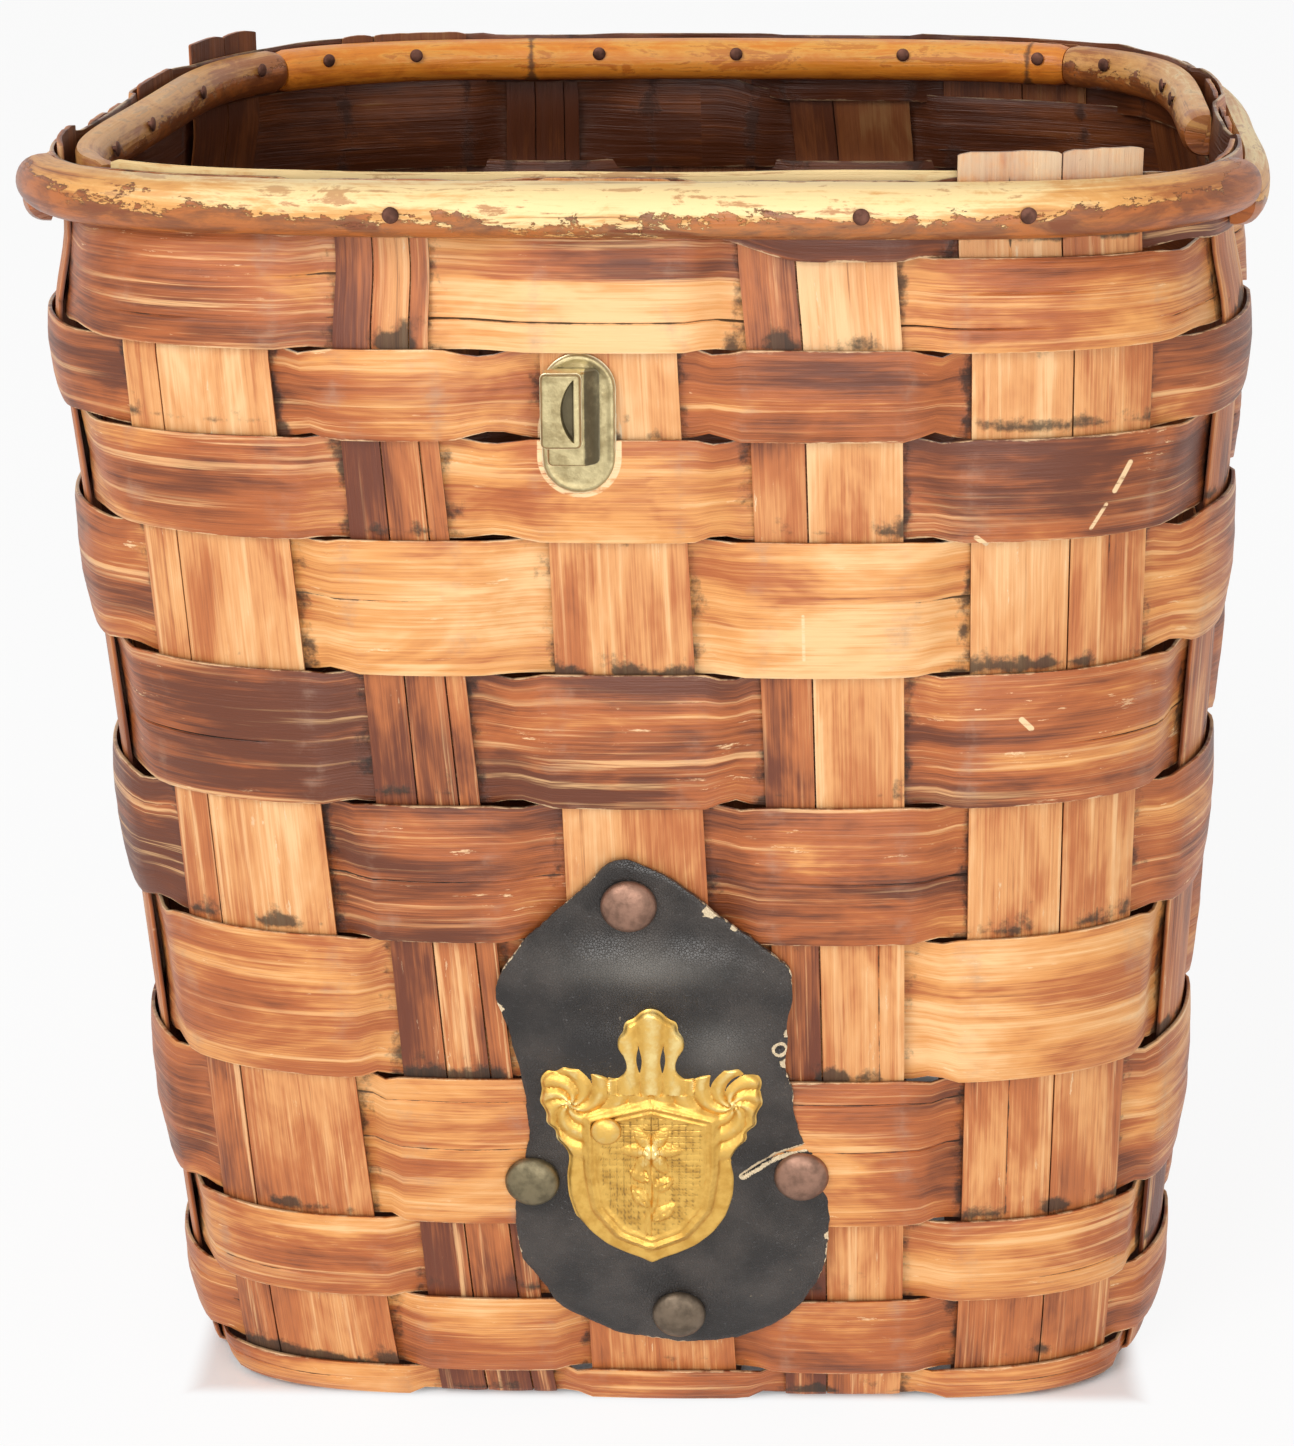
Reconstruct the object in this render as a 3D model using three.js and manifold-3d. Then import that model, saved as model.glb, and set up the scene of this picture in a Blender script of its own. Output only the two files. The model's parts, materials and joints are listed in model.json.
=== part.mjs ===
// A plain-woven basket of flat wooden splints, with a nailed cane rim, a leather patch that
// carries a brass badge, and a brass turn catch. Sizes are in millimetres, the front faces -Y,
// and the basket stands on Z = 0. A name that ends in share or shares holds proportions.
import * as THREE from 'three';
import { mergeVertices } from 'three/addons/utils/BufferGeometryUtils.js';
import Module from 'manifold-3d';

const wasm = await Module();
wasm.setup();

// The wall, on the middle surface between its two layers of splints.
const wallHeight = 398;
const footHeight = 4;
const shoulderDrop = 48;
const mouthLength = 343;
const mouthDepth = 276;
const shoulderExtraLength = 4;
const shoulderExtraDepth = 8;
const footLength = 312;
const footDepth = 222;
const footShift = 8;
const rackShare = 0.08;
const flareShare = 0.65;
const frontSquarenessShare = 5;
const backSquarenessShare = 3.8;
const waistRoundingShare = 0.7;

// The splints.
const stakeThickness = 1.6;
const weaverThickness = 1.6;
const weaveClearance = 0.35;
const rowGap = 1.2;
const crossingMargin = 1;
const bendInset = 3.6;
const bendDrop = 2.4;
const stakeEndRise = 10;

// The cane rim and its nails.
const hoopHeight = 15.4;
const outerHoopThickness = 10.3;
const sideHoopThickness = 8.3;
const innerHoopHeight = 14.4;
const innerHoopThickness = 9;
const hoopDrop = 6.9;
const sideHoopDrop = 5;
const outerSeat = 3.5;
const innerSeat = 3.9;
const linerHeight = 15;
const linerThickness = 2.6;
const linerRise = 1.1;
const hoopJointGap = 0.5;
const nailHeadRadius = 2.3;
const nailHeadHeight = 0.9;
const nailShankRadius = 0.9;
const nailBite = 3.6;
const innerNailRise = 0.8;
const boreClearance = 0.3;

// The brass turn catch.
const catchPlateWidth = 20.6;
const catchPlateHeight = 40;
const catchPlateThickness = 1.2;
const endFlat = 0.35;
const catchRowCount = 9;
const catchOffset = 9;
const catchRise = 5.4;
const collarWidth = 14.4;
const collarHeight = 27;
const collarDepth = 4.4;
const collarOffset = 1.4;
const collarRise = 2.5;
const collarCornerRadius = 1.6;
const buttonWidth = 11.4;
const buttonHeight = 21.4;
const buttonDepth = 4.6;
const buttonOffset = 3;
const buttonRise = 6;
const buttonCornerRadius = 1.6;
const scoopWidth = 3.6;
const scoopHeight = 16.6;
const scoopDepth = 3.2;
const scoopDrop = 1.6;
const spindleRadius = 2.2;
const spindleStub = 3.2;
const prongWidth = 4;
const prongThickness = 1.2;
const prongInset = 4;
const backPlateThickness = 1;
const washerRadius = 5;
const washerThickness = 1.2;
const runningClearance = 0.3;

// The patch, its studs and the badge.
const patchWidth = 104;
const patchHeight = 172;
const patchThickness = 1.6;
const patchBottom = 26;
const patchOffset = -1;
const seatClearance = 0.35;
const studRadius = 8.3;
const studHeight = 3.8;
const studShankRadius = 1.2;
const studShankLength = 6.6;
const badgeWidth = 68;
const badgeHeight = 92;
const badgeBottom = 57;
const badgeOffset = -4;
const badgeThickness = 2.2;
const badgeFieldRise = 1.6;
const badgeStudRadius = 4.6;
const badgeStudHeight = 2.4;
const badgeStudShankLength = 8.2;

// Roundness of small turned pieces, and how finely the curved pieces are divided.
const hoopSteps = 56;
const cornerSteps = 3;
const turnedSteps = 6;
const studSteps = 12;
const sheetSteps = 7;
const overrun = 1;
const weldShare = 1e-5;
const arcSteps = 4;

// The middle of each upright splint along its side and its width, as shares of the mouth's
// and of the foot's length: [middle at mouth, middle at foot, width at mouth, width at foot].
const frontStakeShares = {
  a: [-0.683, -0.69, 0.122, 0.165],
  b: [-0.389, -0.333, 0.073, 0.118],
  c: [-0.03, 0.006, 0.107, 0.147],
  d: [0.305, 0.365, 0.127, 0.116],
  e: [0.677, 0.737, 0.147, 0.152],
};
const sideStakeShares = {
  p: [-0.6, -0.6, 0.133, 0.15],
  q: [-0.2, -0.2, 0.137, 0.155],
  r: [0.2, 0.2, 0.137, 0.155],
  s: [0.6, 0.58, 0.133, 0.14],
};
const backPlaceShare = 0.93;

// How far each splint's two ends stand above the wall, as shares of stakeEndRise.
const endRiseShares = {
  a: [0.1, 0.7], b: [0.1, 0.2], c: [0.15, 0.5], d: [0.1, 0.15], e: [0.95, 0.4],
  p: [0.3, 0.1], q: [0.1, 0.15], r: [0.25, 0.1], s: [1, 0.1],
};

// The heights of the rows of weavers from the foot up, as shares of the woven height.
const rowShares = [
  0.023, 0.071, 0.074, 0.129, 0.122, 0.112, 0.106, 0.104, 0.076, 0.066, 0.063, 0.054,
];

// A flat-backed cane section, from its back (0) to its crown (1) and over its height.
const hoopSectionShares = [
  [0, -0.38], [0, 0.38], [0.34, 0.5], [0.76, 0.4], [1, 0.15], [1, -0.15], [0.76, -0.4], [0.34, -0.5],
];

// Where the rim's nails stand along each side, as shares of its half length.
const innerNailShares = {
  back: [-0.815, -0.625, -0.235, 0.05, 0.4, 0.7],
  left: [0.65, 0.27, -0.18, -0.5],
  right: [0.8, 0.41, 0.2],
};
const outerNailShares = { front: [-0.359, 0.374, 0.625] };

// The spans of the rim's pieces, as shares of a full turn from +X towards the back.
const hoopSpanShares = {
  outer_hoop_front: [0.57, 0.93],
  outer_hoop_back: [-0.07, 0.57],
  inner_hoop_right: [-0.002, 0.15],
  inner_hoop_back: [0.15, 0.4],
  inner_hoop_left: [0.4, 0.62],
  rim_liner_front: [0.63, 0.86],
};

// Outlines, across from the middle and up from the bottom, as shares of width and height.
const patchShares = [
  [-0.09, 0], [0.19, 0], [0.38, 0.07], [0.49, 0.16], [0.5, 0.3], [0.42, 0.4], [0.4, 0.55],
  [0.39, 0.67], [0.35, 0.76], [0.16, 0.9], [0.02, 0.97], [-0.1, 1], [-0.17, 0.985],
  [-0.3, 0.9], [-0.44, 0.8], [-0.49, 0.73], [-0.45, 0.62], [-0.41, 0.5], [-0.43, 0.4],
  [-0.46, 0.3], [-0.45, 0.2], [-0.36, 0.1], [-0.24, 0.03],
];
const badgeShares = [
  [0, 0], [0.2, 0.07], [0.34, 0.2], [0.38, 0.36], [0.38, 0.56], [0.5, 0.66], [0.47, 0.8],
  [0.33, 0.78], [0.2, 0.73], [0.17, 0.88], [0.08, 0.97], [0, 1],
];
const badgeFieldShares = [
  [0, 0.07], [0.16, 0.12], [0.27, 0.23], [0.3, 0.38], [0.3, 0.6], [0.15, 0.63], [0, 0.66],
];
const studShares = {
  top: [-0.09, 0.91], left: [-0.38, 0.355], right: [0.41, 0.37], bottom: [0.05, 0.07],
};
const badgeStudShares = [-0.2, 0.55];

const finishes = {
  stake: { color: 0xb98a55, roughness: 0.62, metalness: 0 },
  weaver: { color: 0x9a5f38, roughness: 0.55, metalness: 0 },
  cane: { color: 0xd9a860, roughness: 0.45, metalness: 0 },
  amberCane: { color: 0xc57a22, roughness: 0.35, metalness: 0 },
  iron: { color: 0x4a332a, roughness: 0.6, metalness: 0.7 },
  brass: { color: 0x8f8455, roughness: 0.42, metalness: 0.9 },
  gilt: { color: 0xd8a63c, roughness: 0.38, metalness: 0.9 },
  bronze: { color: 0x6b4a3c, roughness: 0.45, metalness: 0.8 },
  leather: { color: 0x3b3835, roughness: 0.55, metalness: 0 },
};

const basket = new THREE.Group();
const up = new THREE.Vector3(0, 0, 1);
const layerOffset = stakeThickness / 2 + weaveClearance + weaverThickness / 2;
const faceOffset = layerOffset + weaverThickness / 2;
const wovenHeight = wallHeight - footHeight;
const shoulderHeight = wallHeight - shoulderDrop;
const shoulderLength = mouthLength + shoulderExtraLength;
const shoulderDepth = mouthDepth + shoulderExtraDepth;
const hoopCentreHeight = wallHeight - hoopDrop;
const neckHeight = hoopCentreHeight - sideHoopDrop - hoopHeight / 2;

const levels = [footHeight];
for (const share of rowShares) {
  levels.push(levels.at(-1) + share * wovenHeight);
}

// The wall's plan at a height: half sizes, squareness at front and back, and sideways shift.
function planAt(z) {
  const climb = Math.min(1, Math.max(0, z / shoulderHeight)) ** flareShare;
  const neck = Math.min(1, Math.max(0, (z - shoulderHeight) / (neckHeight - shoulderHeight)));
  const pull = neck * neck * (3 - 2 * neck);
  const half = (foot, shoulder, mouth) => (
    (foot + (shoulder - foot) * climb + (mouth - shoulder) * pull) / 2
  );
  const waist = Math.sin(Math.PI * Math.min(1, Math.max(0, z / wallHeight)));
  return {
    halfLength: half(footLength, shoulderLength, mouthLength),
    halfDepth: half(footDepth, shoulderDepth, mouthDepth),
    front: frontSquarenessShare - waistRoundingShare * waist,
    back: backSquarenessShare,
    shift: footShift * (1 - z / wallHeight),
  };
}

// Racks and shifts a point of the plan to where it stands in the basket.
function settle(x, y, plan) {
  return new THREE.Vector2(x + rackShare * y + plan.shift, y);
}

// The point of a side at a share of its half length.
function sidePoint(side, share, plan) {
  const along = Math.min(1, Math.max(-1, share));
  const sideways = side === 'left' || side === 'right';
  const toBack = sideways ? along > 0 : side === 'back';
  const power = toBack ? plan.back : plan.front;
  const reach = (1 - Math.abs(along) ** power) ** (1 / power);
  const x = sideways ? (side === 'right' ? 1 : -1) * reach : along;
  const y = sideways ? along : (side === 'back' ? 1 : -1) * reach;
  return settle(x * plan.halfLength, y * plan.halfDepth, plan);
}

// The point of the plan at a share of a full turn, from +X towards the back.
function turnPoint(turn, plan) {
  const angle = turn * 2 * Math.PI;
  const [c, s] = [Math.cos(angle), Math.sin(angle)];
  const power = 2 / (s > 0 ? plan.back : plan.front);
  const x = Math.sign(c) * Math.abs(c) ** power * plan.halfLength;
  const y = Math.sign(s) * Math.abs(s) ** power * plan.halfDepth;
  return settle(x, y, plan);
}

// The outward direction of a step taken with the basket on the left hand.
function outward(from, to) {
  return new THREE.Vector2(to.y - from.y, from.x - to.x).normalize();
}

// Closes a run of like-sided rings of points into one body, as a ring itself or with two ends.
// Ring point i lies across the piece from point (size - 1 - i).
function loft(rings, closed) {
  const size = rings[0].length;
  const positions = rings.flat().flatMap((point) => point.toArray());
  const index = [];
  const quad = (a, b, c, d) => index.push(a, b, c, a, c, d);
  const runs = closed ? rings.length : rings.length - 1;
  for (let i = 0; i < runs; i += 1) {
    const here = i * size;
    const next = ((i + 1) % rings.length) * size;
    for (let j = 0; j < size; j += 1) {
      const k = (j + 1) % size;
      quad(here + j, here + k, next + k, next + j);
    }
  }
  if (!closed) {
    const last = (rings.length - 1) * size;
    for (let i = 0; i < size / 2 - 1; i += 1) {
      const [j, k] = [size - 1 - i, size - 2 - i];
      quad(i, j, k, i + 1);
      quad(last + i, last + i + 1, last + k, last + j);
    }
  }
  const geometry = new THREE.BufferGeometry();
  geometry.setAttribute('position', new THREE.Float32BufferAttribute(positions, 3));
  geometry.setIndex(index);
  return volumeOf(geometry) < 0 ? turnedOut(geometry) : geometry;
}

// Six times the signed volume: negative where the faces point in.
function volumeOf(geometry) {
  const { position } = geometry.attributes;
  const corner = (i) => new THREE.Vector3().fromBufferAttribute(position, geometry.index.getX(i));
  let volume = 0;
  for (let i = 0; i < geometry.index.count; i += 3) {
    volume += corner(i).dot(corner(i + 1).cross(corner(i + 2)));
  }
  return volume;
}

function turnedOut(geometry) {
  geometry.setIndex(Array.from(geometry.index.array).reverse());
  return geometry;
}

function toSolid(geometry) {
  const bare = new THREE.BufferGeometry();
  bare.setAttribute('position', geometry.getAttribute('position'));
  bare.setIndex(geometry.index);
  const merged = mergeVertices(bare, weldShare * wallHeight);
  return new wasm.Manifold(new wasm.Mesh({
    numProp: 3,
    vertProperties: new Float32Array(merged.attributes.position.array),
    triVerts: new Uint32Array(merged.index.array),
  }));
}

function toGeometry(solid) {
  const mesh = solid.getMesh();
  const geometry = new THREE.BufferGeometry();
  geometry.setAttribute('position', new THREE.Float32BufferAttribute(mesh.vertProperties, 3));
  geometry.setIndex(Array.from(mesh.triVerts));
  return geometry;
}

// Every hole that a nail, shank, prong or spindle needs in the splints, canes and patch.
const bores = [];

function addBore(geometry, matrix) {
  const tool = geometry.clone().applyMatrix4(matrix);
  tool.computeBoundingBox();
  bores.push(tool);
}

function bored(geometry) {
  geometry.computeBoundingBox();
  const tools = bores.filter((tool) => tool.boundingBox.intersectsBox(geometry.boundingBox));
  if (tools.length === 0) {
    return geometry;
  }
  const cut = tools.reduce((solid, tool) => solid.subtract(toSolid(tool)), toSolid(geometry));
  return toGeometry(cut);
}

function addPiece(name, geometry, finish, parent = basket) {
  geometry.computeVertexNormals();
  const mesh = new THREE.Mesh(geometry, new THREE.MeshStandardMaterial(finishes[finish]));
  mesh.name = name;
  parent.add(mesh);
  return mesh;
}

// The uprights in their order round the wall, from the front's left corner.
const frontNames = Object.keys(frontStakeShares);
const sideNames = Object.keys(sideStakeShares);
const cornerNames = [frontNames[0], frontNames.at(-1), sideNames[0], sideNames.at(-1)];
const column = (name, side, shares, placeShare, reversed) => ({
  name, side, shares, placeShare, reversed, bent: cornerNames.includes(name),
});
const columns = [
  ...frontNames.map((name) => column(name, 'front', frontStakeShares[name], 1, false)),
  ...sideNames.map((name) => column(name, 'right', sideStakeShares[name], 1, false)),
  ...frontNames.toReversed().map((name) => (
    column(name, 'back', frontStakeShares[name], backPlaceShare, true)
  )),
  ...sideNames.toReversed().map((name) => column(name, 'left', sideStakeShares[name], 1, true)),
];
const columnOf = (name, side) => columns.find((entry) => entry.name === name && entry.side === side);

// An upright's points across its width at a height, in the order round the wall.
function stakeSpots(entry, z) {
  const plan = planAt(z);
  const sideways = entry.side === 'left' || entry.side === 'right';
  const half = sideways ? plan.halfDepth : plan.halfLength;
  const climb = z / wallHeight;
  const [mouthPlace, footPlace, mouthWidth, footWidth] = entry.shares;
  const place = THREE.MathUtils.lerp(footPlace, mouthPlace, climb) * entry.placeShare;
  const mouthSize = (sideways ? mouthDepth : mouthLength) * mouthWidth;
  const footSize = (sideways ? footDepth : footLength) * footWidth;
  const width = THREE.MathUtils.lerp(footSize, mouthSize, climb);
  const across = entry.bent ? [-0.5, 0, 0.5] : [-0.5, 0.5];
  const points = across.map((share) => sidePoint(entry.side, place + (share * width) / half, plan));
  if (entry.reversed) {
    points.reverse();
  }
  const last = points.length - 1;
  return points.map((point, i) => {
    const before = outward(points[Math.max(0, i - 1)], points[Math.max(1, i)]);
    const after = outward(points[Math.min(i, last - 1)], points[Math.min(i + 1, last)]);
    return { point, normal: before.add(after).normalize() };
  });
}

// The wall between two rows bends only at the rows' edges, so a height inside a row is a blend.
function rowSpots(entry, row, share) {
  const low = stakeSpots(entry, levels[row]);
  const high = stakeSpots(entry, levels[row + 1]);
  return low.map((spot, i) => ({
    point: spot.point.clone().lerp(high[i].point, share),
    normal: spot.normal.clone().lerp(high[i].normal, share).normalize(),
  }));
}

function raised(spot, offset, z) {
  const { point, normal } = spot;
  return new THREE.Vector3(point.x + normal.x * offset, point.y + normal.y * offset, z);
}

// The spots that carry the wall round a corner from one upright to the next.
function cornerSpots(last, first, z) {
  const plan = planAt(z);
  const turnOf = (point) => {
    const y = point.y / plan.halfDepth;
    const x = (point.x - rackShare * point.y - plan.shift) / plan.halfLength;
    const power = (y > 0 ? plan.back : plan.front) / 2;
    const angle = Math.atan2(Math.sign(y) * Math.abs(y) ** power, Math.sign(x) * Math.abs(x) ** power);
    return angle / (2 * Math.PI);
  };
  const from = turnOf(last.point);
  const to = turnOf(first.point);
  const span = to - from + (to < from ? 1 : 0);
  const spots = [];
  for (let i = 1; i <= cornerSteps; i += 1) {
    const turn = from + (span * i) / (cornerSteps + 1);
    const reach = span / (cornerSteps + 1);
    const normal = outward(turnPoint(turn - reach / 2, plan), turnPoint(turn + reach / 2, plan));
    spots.push({ point: turnPoint(turn, plan), normal });
  }
  return spots;
}

// One weaver: over and under the uprights in turn, and joined to itself in a ring.
function weaverGeometry(row) {
  const bottom = levels[row] + rowGap / 2;
  const top = levels[row + 1] - rowGap / 2;
  const edges = [bottom, top].map((z) => {
    const share = (z - levels[row]) / (levels[row + 1] - levels[row]);
    const spots = [];
    columns.forEach((entry, place) => {
      const layer = (place + row) % 2 === 0 ? layerOffset : -layerOffset;
      const crossing = rowSpots(entry, row, share);
      const lead = crossing[0].point.clone().sub(crossing[1].point).setLength(crossingMargin);
      const trail = crossing.at(-1).point.clone().sub(crossing.at(-2).point).setLength(crossingMargin);
      crossing[0].point.add(lead);
      crossing.at(-1).point.add(trail);
      spots.push(...crossing.map((spot) => ({ ...spot, layer })));
      const next = columns[(place + 1) % columns.length];
      if (next.side !== entry.side) {
        const first = rowSpots(next, row, share)[0];
        spots.push(...cornerSpots(crossing.at(-1), first, z).map((spot) => ({ ...spot, layer: 0 })));
      }
    });
    return spots.map((spot) => [
      raised(spot, spot.layer - weaverThickness / 2, z),
      raised(spot, spot.layer + weaverThickness / 2, z),
    ]);
  });
  const [low, high] = edges;
  return loft(low.map((_, i) => [low[i][0], high[i][0], high[i][1], low[i][1]]), true);
}

// Where an upright crosses the bottom, with the heights of its two layers there.
const lowLayer = stakeThickness / 2;
const highLayer = lowLayer + stakeThickness + weaveClearance;

// One upright: down one wall, under the basket over and under the crossing splints, and up again.
function stakeGeometry(name) {
  const sideways = name in sideStakeShares;
  const near = columnOf(name, sideways ? 'left' : 'front');
  const far = columnOf(name, sideways ? 'right' : 'back');
  const names = sideways ? sideNames : frontNames;
  const crossNames = sideways ? frontNames : sideNames;
  const axis = sideways ? 'x' : 'y';
  const other = sideways ? 'y' : 'x';
  const ring = (spots, z, depth, lean) => {
    const inner = spots.map((spot) => raised(spot, -depth * lean, z + depth * (1 - lean)));
    const outer = spots.map((spot) => raised(spot, depth * lean, z - depth * (1 - lean)));
    return [...inner, ...outer.reverse()];
  };
  const wallRings = (entry, riseShare) => {
    const heights = [...levels, wallHeight + riseShare * stakeEndRise];
    return heights.map((z) => ring(stakeSpots(entry, z), z, stakeThickness / 2, 1));
  };
  const bendRing = (entry) => {
    const spots = stakeSpots(entry, footHeight);
    spots.forEach((spot) => spot.point.addScaledVector(spot.normal, -bendInset));
    return ring(spots, footHeight - bendDrop + lowLayer / 2, stakeThickness / 2, 0);
  };
  const nearFoot = stakeSpots(near, footHeight).map((spot) => spot.point);
  const farFoot = stakeSpots(far, footHeight).map((spot) => spot.point).reverse();
  const bottomRing = (place, z) => {
    const points = nearFoot.map((from, i) => {
      const share = (place - from[axis]) / (farFoot[i][axis] - from[axis]);
      const spot = from.clone().lerp(farFoot[i], share);
      return new THREE.Vector3(spot.x, spot.y, z);
    });
    const inner = points.map((point) => point.clone().addScaledVector(up, stakeThickness / 2));
    const outer = points.map((point) => point.clone().addScaledVector(up, -stakeThickness / 2));
    return [...inner, ...outer.reverse()];
  };
  const middleOf = (points, key) => (points[0][key] + points.at(-1)[key]) / 2;
  const ownPlace = (middleOf(nearFoot, other) + middleOf(farFoot, other)) / 2;
  const crossEnds = sideways ? ['front', 'back'] : ['left', 'right'];
  const bottomRings = crossNames.flatMap((crossName, i) => {
    const footOf = (side) => stakeSpots(columnOf(crossName, side), footHeight).map((spot) => spot.point);
    const [from, to] = [footOf(crossEnds[0]), footOf(crossEnds[1]).reverse()];
    const span = middleOf(to, other) - middleOf(from, other);
    const share = (ownPlace - middleOf(from, other)) / span;
    const edges = [0, -1].map((end) => (
      THREE.MathUtils.lerp(from.at(end)[axis], to.at(end)[axis], share)
    ));
    const reach = Math.abs(edges[1] - edges[0]) / 2 + crossingMargin;
    const centre = (edges[0] + edges[1]) / 2;
    const high = (i + names.indexOf(name)) % 2 === (sideways ? 1 : 0);
    return [-reach, reach].map((step) => bottomRing(centre + step, high ? highLayer : lowLayer));
  });
  const flip = (loop) => {
    const half = loop.length / 2;
    return [...loop.slice(0, half).reverse(), ...loop.slice(half).reverse()];
  };
  const [nearRise, farRise] = endRiseShares[name];
  const farRings = [bendRing(far), ...wallRings(far, farRise)].map(flip);
  const rings = [...wallRings(near, nearRise).reverse(), bendRing(near), ...bottomRings, ...farRings];
  return loft(rings, false);
}

// A cane that follows the mouth: seat is how far its flat back stands off the wall's middle
// surface, and thickness runs outwards from there, or inwards where it is negative.
function hoopGeometry([start, end], seat, thickness, height, centre) {
  const plan = planAt(hoopCentreHeight);
  const perimeter = Math.PI * (plan.halfLength + plan.halfDepth);
  const gap = hoopJointGap / perimeter;
  const steps = Math.ceil((end - start) * hoopSteps);
  const rings = [];
  for (let i = 0; i <= steps; i += 1) {
    const turn = THREE.MathUtils.lerp(start + gap, end - gap, i / steps);
    const reach = 1 / hoopSteps / 4;
    const normal = outward(turnPoint(turn - reach, plan), turnPoint(turn + reach, plan));
    const spot = { point: turnPoint(turn, plan), normal };
    rings.push(hoopSectionShares.map(([out, rise]) => (
      raised(spot, seat + out * thickness, centre + rise * height)
    )));
  }
  return loft(rings, false);
}

// A nail, stud or spindle about its own Y axis: the head's underside lies at zero.
function nailGeometry(headRadius, headHeight, shankRadius, shankLength, steps) {
  const crown = [[1, 0], [1, 0.25], [0.72, 0.76], [0, 1]].map(
    ([across, rise]) => new THREE.Vector2(across * headRadius, rise * headHeight),
  );
  const shank = [new THREE.Vector2(0, -shankLength), new THREE.Vector2(shankRadius, -shankLength)];
  return new THREE.LatheGeometry([...shank, new THREE.Vector2(shankRadius, 0), ...crown], steps);
}

function shankBore(radius, length) {
  const wide = radius + boreClearance;
  const deep = length + boreClearance;
  const bore = new THREE.CylinderGeometry(wide, wide, deep + overrun, turnedSteps);
  return bore.translate(0, (overrun - deep) / 2, 0);
}

// Stands a piece at a point, with its own Y axis along a direction, and bores its way.
function stand(mesh, position, direction, bore) {
  mesh.position.copy(position);
  mesh.quaternion.setFromUnitVectors(new THREE.Vector3(0, 1, 0), direction);
  mesh.updateMatrix();
  addBore(bore, mesh.matrix);
}

// The rim's nails: inner ones are driven outwards through both canes, outer ones inwards.
function addNails(placeShares, prefix, sign, headOffset, length, height) {
  const plan = planAt(hoopCentreHeight);
  const reach = nailHeadRadius / plan.halfLength;
  for (const [side, shares] of Object.entries(placeShares)) {
    const turnsBack = side === 'back' || side === 'left' ? -1 : 1;
    shares.forEach((share, i) => {
      const near = (step) => sidePoint(side, share + turnsBack * step, plan);
      const normal = outward(near(-reach), near(reach));
      const head = raised({ point: near(0), normal }, headOffset, height);
      const geometry = nailGeometry(
        nailHeadRadius, nailHeadHeight, nailShankRadius, length, turnedSteps,
      );
      const nail = addPiece(`${prefix}_${side}_${i + 1}`, geometry, 'iron');
      const direction = new THREE.Vector3(normal.x, normal.y, 0).multiplyScalar(sign);
      stand(nail, head, direction, shankBore(nailShankRadius, length));
    });
  }
}
const innerFace = -(innerSeat + innerHoopThickness + weaveClearance);
const outerFace = outerSeat + outerHoopThickness + weaveClearance;
const innerNailLength = outerSeat - innerFace + nailBite;
const outerNailLength = outerFace + innerSeat + linerThickness + overrun;
const innerNailHeight = hoopCentreHeight + innerNailRise;
addNails(innerNailShares, 'inner_nail', -1, innerFace, innerNailLength, innerNailHeight);
addNails(outerNailShares, 'outer_nail', 1, outerFace, outerNailLength, hoopCentreHeight);

// The front wall's surface at a place across and a height, standing off its middle surface.
function frontSpot(x, z, offset) {
  const under = levels.findLastIndex((level) => level <= z);
  const row = Math.max(0, Math.min(rowShares.length - 1, under));
  const at = (height) => {
    const plan = planAt(height);
    const rackedDepth = -rackShare * plan.halfDepth;
    const point = sidePoint('front', (x - plan.shift - rackedDepth) / plan.halfLength, plan);
    return point.y;
  };
  const share = (z - levels[row]) / (levels[row + 1] - levels[row]);
  const y = THREE.MathUtils.lerp(at(levels[row]), at(levels[row + 1]), share);
  return new THREE.Vector3(x, y - offset, z);
}

// Which way the front wall faces at a place, leaning with its slope.
function frontNormal(x, z, reach) {
  const slope = frontSpot(x, z + reach, 0).y - frontSpot(x, z - reach, 0).y;
  const bow = frontSpot(x + reach, z, 0).y - frontSpot(x - reach, z, 0).y;
  return new THREE.Vector3(bow, -2 * reach, slope).normalize();
}

// A sheet that lies on the front wall, cut to an outline given in its own width and height.
function sheetSolid(outline, offset, thickness) {
  const xs = outline.map((point) => point.x);
  const zs = outline.map((point) => point.y);
  const [left, right] = [Math.min(...xs) - overrun, Math.max(...xs) + overrun];
  const [low, high] = [Math.min(...zs) - overrun, Math.max(...zs) + overrun];
  const heights = [low, ...levels.filter((level) => level > low && level < high), high];
  const rings = heights.map((z) => {
    const places = Array.from({ length: sheetSteps }, (_, i) => (
      THREE.MathUtils.lerp(left, right, i / (sheetSteps - 1))
    ));
    const inner = places.map((x) => frontSpot(x, z, offset));
    const outer = places.map((x) => frontSpot(x, z, offset + thickness)).reverse();
    return [...inner, ...outer];
  });
  const depth = shoulderDepth;
  const prism = new THREE.ExtrudeGeometry(new THREE.Shape(outline), { depth, bevelEnabled: false });
  prism.rotateX(Math.PI / 2);
  return toSolid(prism).intersect(toSolid(loft(rings, false)));
}

function outlineOf(shares, width, height, x, z) {
  return shares.map(([across, rise]) => new THREE.Vector2(x + across * width, z + rise * height));
}

function mirrored(shares) {
  const other = shares.filter(([across]) => across > 0).map(([across, rise]) => [-across, rise]);
  return [...shares, ...other.reverse()];
}

// A stud stands square to the wall on top of what lies under it.
function addStud(name, place, radius, height, shankLength, offset, finish) {
  const { x, y: z } = place;
  const geometry = nailGeometry(radius, height, studShankRadius, shankLength, studSteps);
  const stud = addPiece(name, geometry, finish);
  const bore = shankBore(studShankRadius, shankLength);
  stand(stud, frontSpot(x, z, offset), frontNormal(x, z, radius), bore);
}

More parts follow.
